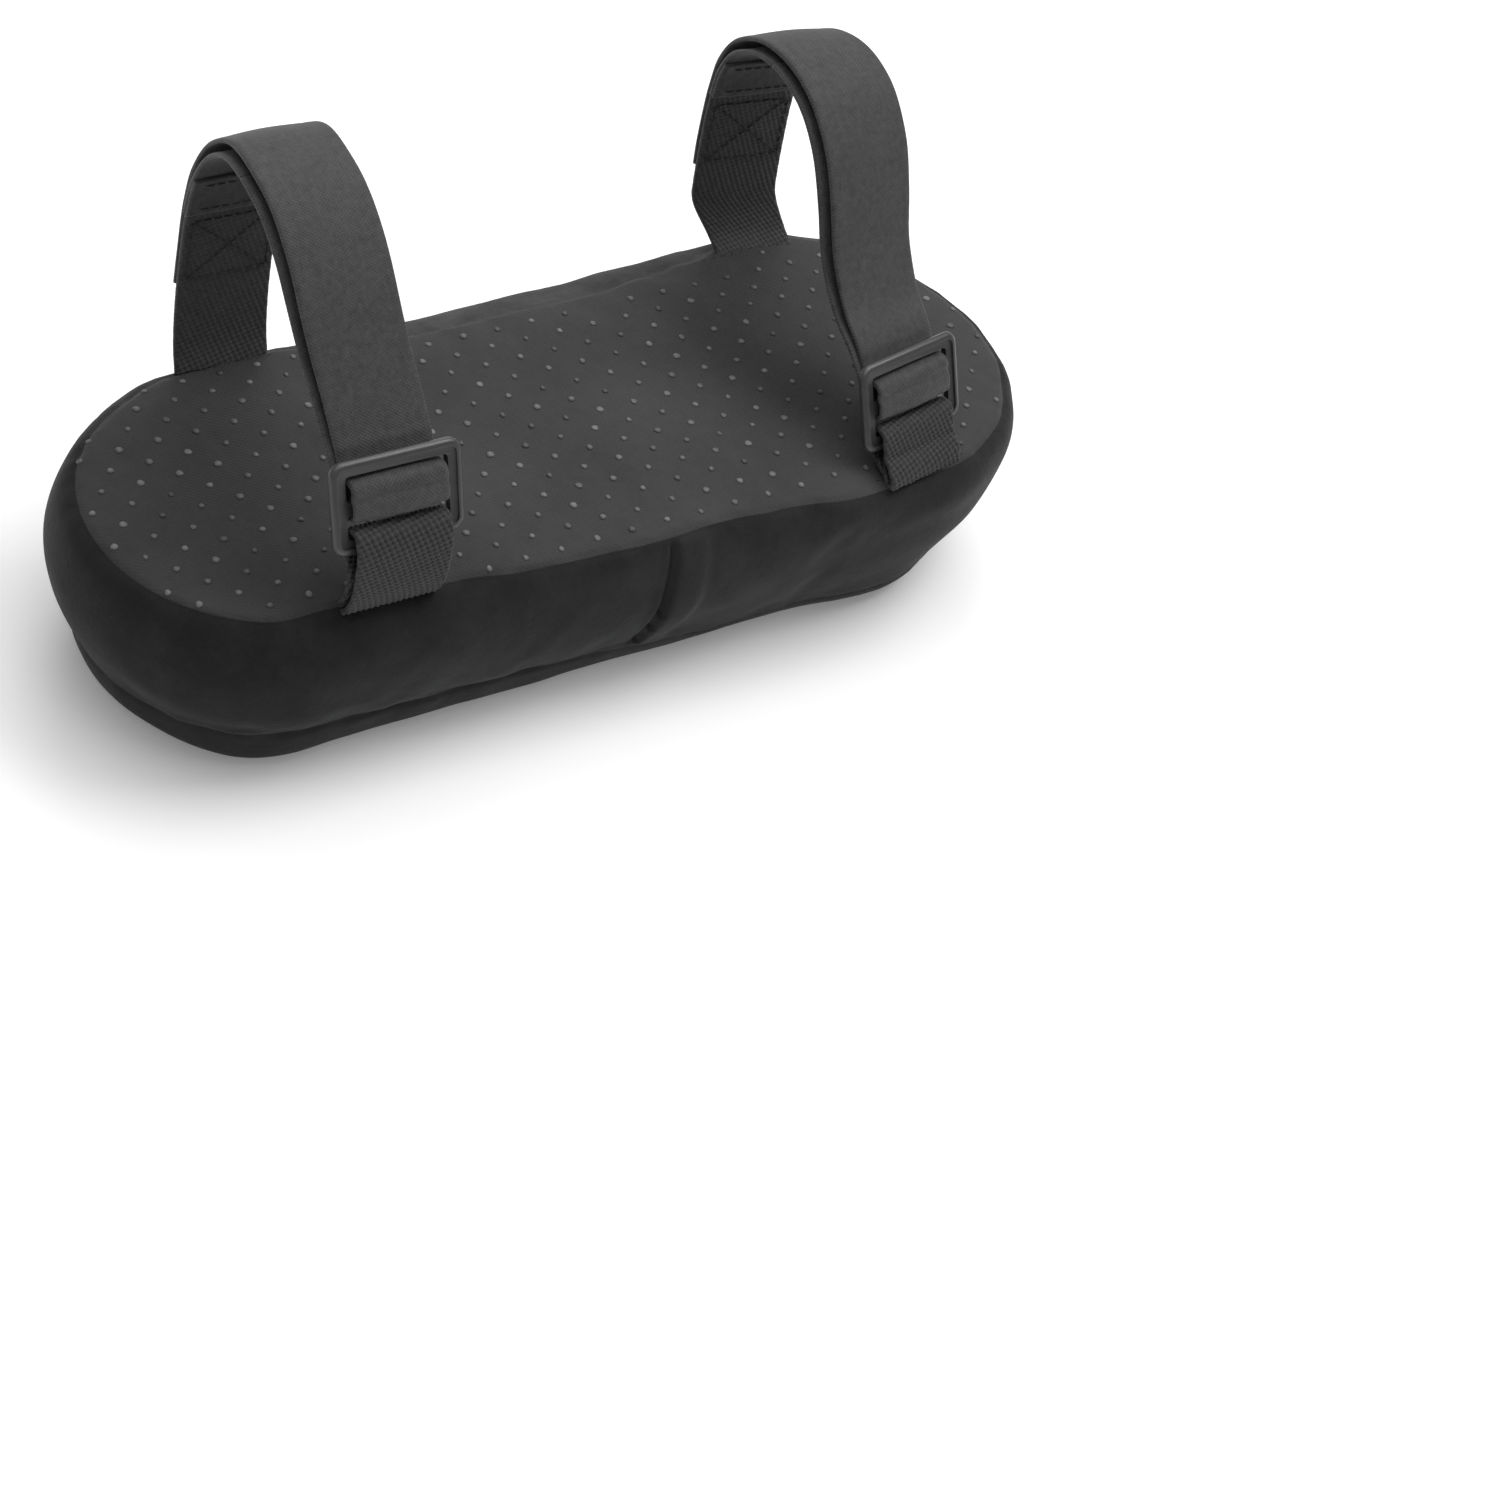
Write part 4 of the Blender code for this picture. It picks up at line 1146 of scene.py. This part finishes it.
def make_anchor(side, loop, strap):
    """The coarse webbing from the far seam, with the strap's end boxed and crossed on it."""
    path = smooth_path([(y, z + HEIGHT) for y, z in loop["anchor"]], 0.3)
    anchor = make_ribbon(side + "_anchor", loop, path, PRESSED_AND_PAINTED_LIGHT)
    (low_y, low_z), _, (high_y, high_z) = loop["anchor"][:3]
    bend = {"start": place(loop, low_y, low_z + HEIGHT), "end": place(loop, high_y, high_z + HEIGHT)}
    finish_band(anchor, "coarse_webbing", ("pad", side + "_loop"), bend, side + "_anchor_webbing")
    below_top = path_lengths(path)[-1] - BOX_SEAM_DROP
    stitches = []
    for line in BOX_SEAM:
        stitches += sewn_line(loop, strap, line, -STRAP_THICKNESS / 2 - 0.05)
        inner = [(across, along + below_top) for across, along in line]
        stitches += sewn_line(loop, path, inner, COARSE_THICKNESS / 2 + 0.1)
    dress(make_stitches(side + "_box_stitches", stitches, "strap_thread"), side + "_loop")


# ---------------------------------------------------------------- buckle


def rounded_outline(low, high, half_width, corner, steps=6):
    """A rounded rectangle as (x, up the buckle) points, counter-clockwise."""
    points = []
    for centre_x, centre_up, start in ((half_width - corner, high - corner, 0),
                                       (corner - half_width, high - corner, 90),
                                       (corner - half_width, low + corner, 180),
                                       (half_width - corner, low + corner, 270)):
        points += arc((centre_x, centre_up), corner, start, start + 90, steps)
    return points


def stand_in_buckle(loop, points):
    """Take (x, up, outwards) points to the pad's frame."""
    arched = [(x, up + BUCKLE_ARCH * max(up / BUCKLE_LENGTH - 0.4, 0.0) / 0.6
               * (1.0 - (2.0 * x / BUCKLE_WIDTH) ** 2), out) for x, up, out in points]
    flat = buckle_to_pad(loop, [(up, out) for _, up, out in arched])
    placed = [(loop["x"] + x, y, z) for (x, _, _), (y, z) in zip(points, flat)]
    return yawed(loop, placed)


def prism(name, loop, rings, material=None):
    """A solid from matching outlines stacked across the buckle, given as (outline, level) pairs."""
    points = [(x, up, level) for outline, level in rings for x, up in outline]
    faces = tube_faces(len(rings), len(rings[0][0]))
    return make_mesh(name, stand_in_buckle(loop, points), faces, material, smooth=False)


def make_buckle(side, loop):
    """The three-bar slide: a frame with a rounded rim, a recessed face and two slots."""
    half = BUCKLE_THICKNESS / 2
    rings = []
    for angle in np.radians(np.linspace(-90.0, 90.0, 11)):
        inset = BUCKLE_RIM * (1.0 - math.cos(angle))
        outline = rounded_outline(inset, BUCKLE_LENGTH - inset, BUCKLE_WIDTH / 2 - inset,
                                  BUCKLE_CORNER - inset)
        rings.append((outline, half * math.sin(angle)))
    buckle = prism(side + "_slide_buckle", loop, rings, "buckle_plastic")
    cutters = []
    for number, (low, high) in enumerate(BUCKLE_SLOTS):
        window = rounded_outline(low, high, BUCKLE_WINDOW_WIDTH / 2, 0.9)
        cutters.append(prism("slot_cutter_" + str(number), loop, [(window, -6.0), (window, 6.0)]))
    dish = rounded_outline(1.7, BUCKLE_LENGTH - 1.7, BUCKLE_WIDTH / 2 - 1.7, BUCKLE_CORNER - 1.5)
    cutters.append(prism("dish_cutter", loop, [(dish, half - 0.55), (dish, half + 3.0)]))
    for cutter in cutters:
        cut = buckle.modifiers.new("cut", "BOOLEAN")
        cut.operation = "DIFFERENCE"
        cut.solver = "EXACT"
        cut.object = cutter
    round_edges(buckle, 0.25, 35.0)
    shaped = evaluated_mesh(buckle)
    shaped.polygons.foreach_set("use_smooth", [True] * len(shaped.polygons))
    shaped.set_sharp_from_angle(angle=math.radians(50.0))
    buckle.modifiers.clear()
    buckle.data = shaped
    for cutter in cutters:
        bpy.data.objects.remove(cutter)
    dress(buckle, side + "_buckle", "buckle_plastic", side + "_buckle")


# ---------------------------------------------------------------- zip


def make_coil(word, side, shift):
    """One half of the zip's coil: a flattened spiral of nylon wire."""
    turns = int(2 * COIL_HALF_LENGTH / COIL_PITCH)
    sides = 7
    angle = np.arange(turns * COIL_POINTS_PER_TURN + 1) * 2.0 * math.pi / COIL_POINTS_PER_TURN
    x = -COIL_HALF_LENGTH + COIL_PITCH * angle / (2.0 * math.pi) + shift
    z = ZIP_HEIGHT + side * (1.15 - 1.7 * np.cos(angle))
    y = COIL_CENTRE_Y + 0.5 * np.sin(angle)
    x += 0.22 * np.sin(2.0 * angle)
    path = np.stack([x, y, z], axis=1)
    tangent = np.gradient(path, axis=0)
    tangent /= np.linalg.norm(tangent, axis=1)[:, None]
    first = np.cross(tangent, (1.0, 0.0, 0.0))
    first /= np.linalg.norm(first, axis=1)[:, None]
    second = np.cross(tangent, first)
    around = 2.0 * math.pi * np.arange(sides) / sides
    rings = (path[:, None] + COIL_WIRE * (first[:, None] * np.cos(around)[None, :, None]
                                          + second[:, None] * np.sin(around)[None, :, None]))
    coil = make_mesh("zip_coil_" + word, rings.reshape(-1, 3), tube_faces(len(path), sides), "zip_coil")
    dress(coil, "pad", "zip_coil", "zipper_coil_" + word)


def make_zip():
    """Coils as wound wire, sewn tapes, and better finishes on the tapes, stops, slider and pull."""
    lines = []
    for word, side, shift in (("upper", 1, 0.0), ("lower", -1, COIL_PITCH / 2)):
        make_coil(word, side, shift)
        for height, out in ((2.2, COIL_CENTRE_Y + COIL_WIRE + 0.45), (5.6, TAPE_STITCH_Y)):
            z = ZIP_HEIGHT + side * height
            for start in np.arange(-COIL_HALF_LENGTH, COIL_HALF_LENGTH, 2.0):
                lines.append(((start, out, z), (start + 1.7, out, z), (0.0, 1.0, 0.0)))
    dress(make_stitches("zip_sewing", lines, "thread", radius=0.13, sink=0.3, rise=0.05), "pad")
    for node, material in (("zipper_tape_upper", "zip_tape"), ("zipper_tape_lower", "zip_tape"),
                           ("zipper_stop_closed", "zip_metal"), ("zipper_stop_open", "zip_metal"),
                           ("zipper_slider", "zip_metal"), ("zipper_pull", "zip_metal")):
        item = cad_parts[node]
        item.data.materials.clear()
        item.data.materials.append(MATERIALS[material])
    for node in ("zipper_slider", "zipper_pull"):
        round_edges(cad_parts[node], 0.22, 30.0)


# ---------------------------------------------------------------- studio


def make_camera():
    """The camera, from its azimuth, elevation and roll."""
    azimuth, elevation, roll = map(math.radians, (CAMERA_AZIMUTH, CAMERA_ELEVATION, CAMERA_ROLL))
    back = Vector((math.sin(azimuth) * math.cos(elevation), -math.cos(azimuth) * math.cos(elevation),
                   math.sin(elevation)))
    level = Vector((math.cos(azimuth), math.sin(azimuth), 0.0))
    upward = back.cross(level)
    right = level * math.cos(roll) + upward * math.sin(roll)
    up = upward * math.cos(roll) - level * math.sin(roll)
    data = bpy.data.cameras.new("camera")
    data.lens = CAMERA_LENS
    data.sensor_width = SENSOR_WIDTH
    data.clip_start = 0.01
    camera = add_object("camera", data)
    camera.matrix_world = Matrix((right, up, back)).transposed().to_4x4()
    camera.location = CAMERA_PLACE
    bpy.context.scene.camera = camera


def add_area_light(name, location, size, power):
    """A soft square light that faces the pad."""
    data = bpy.data.lights.new(name, "AREA")
    data.size = size
    data.energy = power
    lamp = add_object(name, data)
    lamp.location = location
    lamp.rotation_euler = (Vector(LIGHT_TARGET) - Vector(location)).to_track_quat("-Z", "Y").to_euler()


def make_studio():
    """Pale floor, even pale surroundings and three soft lights."""
    mesh = bpy.data.meshes.new("floor")
    reach = FLOOR_REACH
    corners = [(-reach, -reach), (reach, -reach), (reach, reach), (-reach, reach)]
    mesh.from_pydata([(x, y, -FLOOR_DROP) for x, y in corners], [], [(0, 1, 2, 3)])
    mesh.materials.append(make_paper())
    add_object("floor", mesh)
    world = bpy.data.worlds.new("studio")
    world.use_nodes = True
    background = world.node_tree.nodes["Background"]
    background.inputs["Color"].default_value = (1.0, 1.0, 1.0, 1.0)
    background.inputs["Strength"].default_value = WORLD_LIGHT
    bpy.context.scene.world = world
    for light in LIGHTS:
        add_area_light(*light)
    bpy.context.scene.view_settings.view_transform = "Standard"


make_camera()
make_studio()
make_cushion()
for side_name, side_loop in LOOPS.items():
    make_tab(side_name, side_loop)
    make_strap(side_name, side_loop)
    make_buckle(side_name, side_loop)
make_zip()
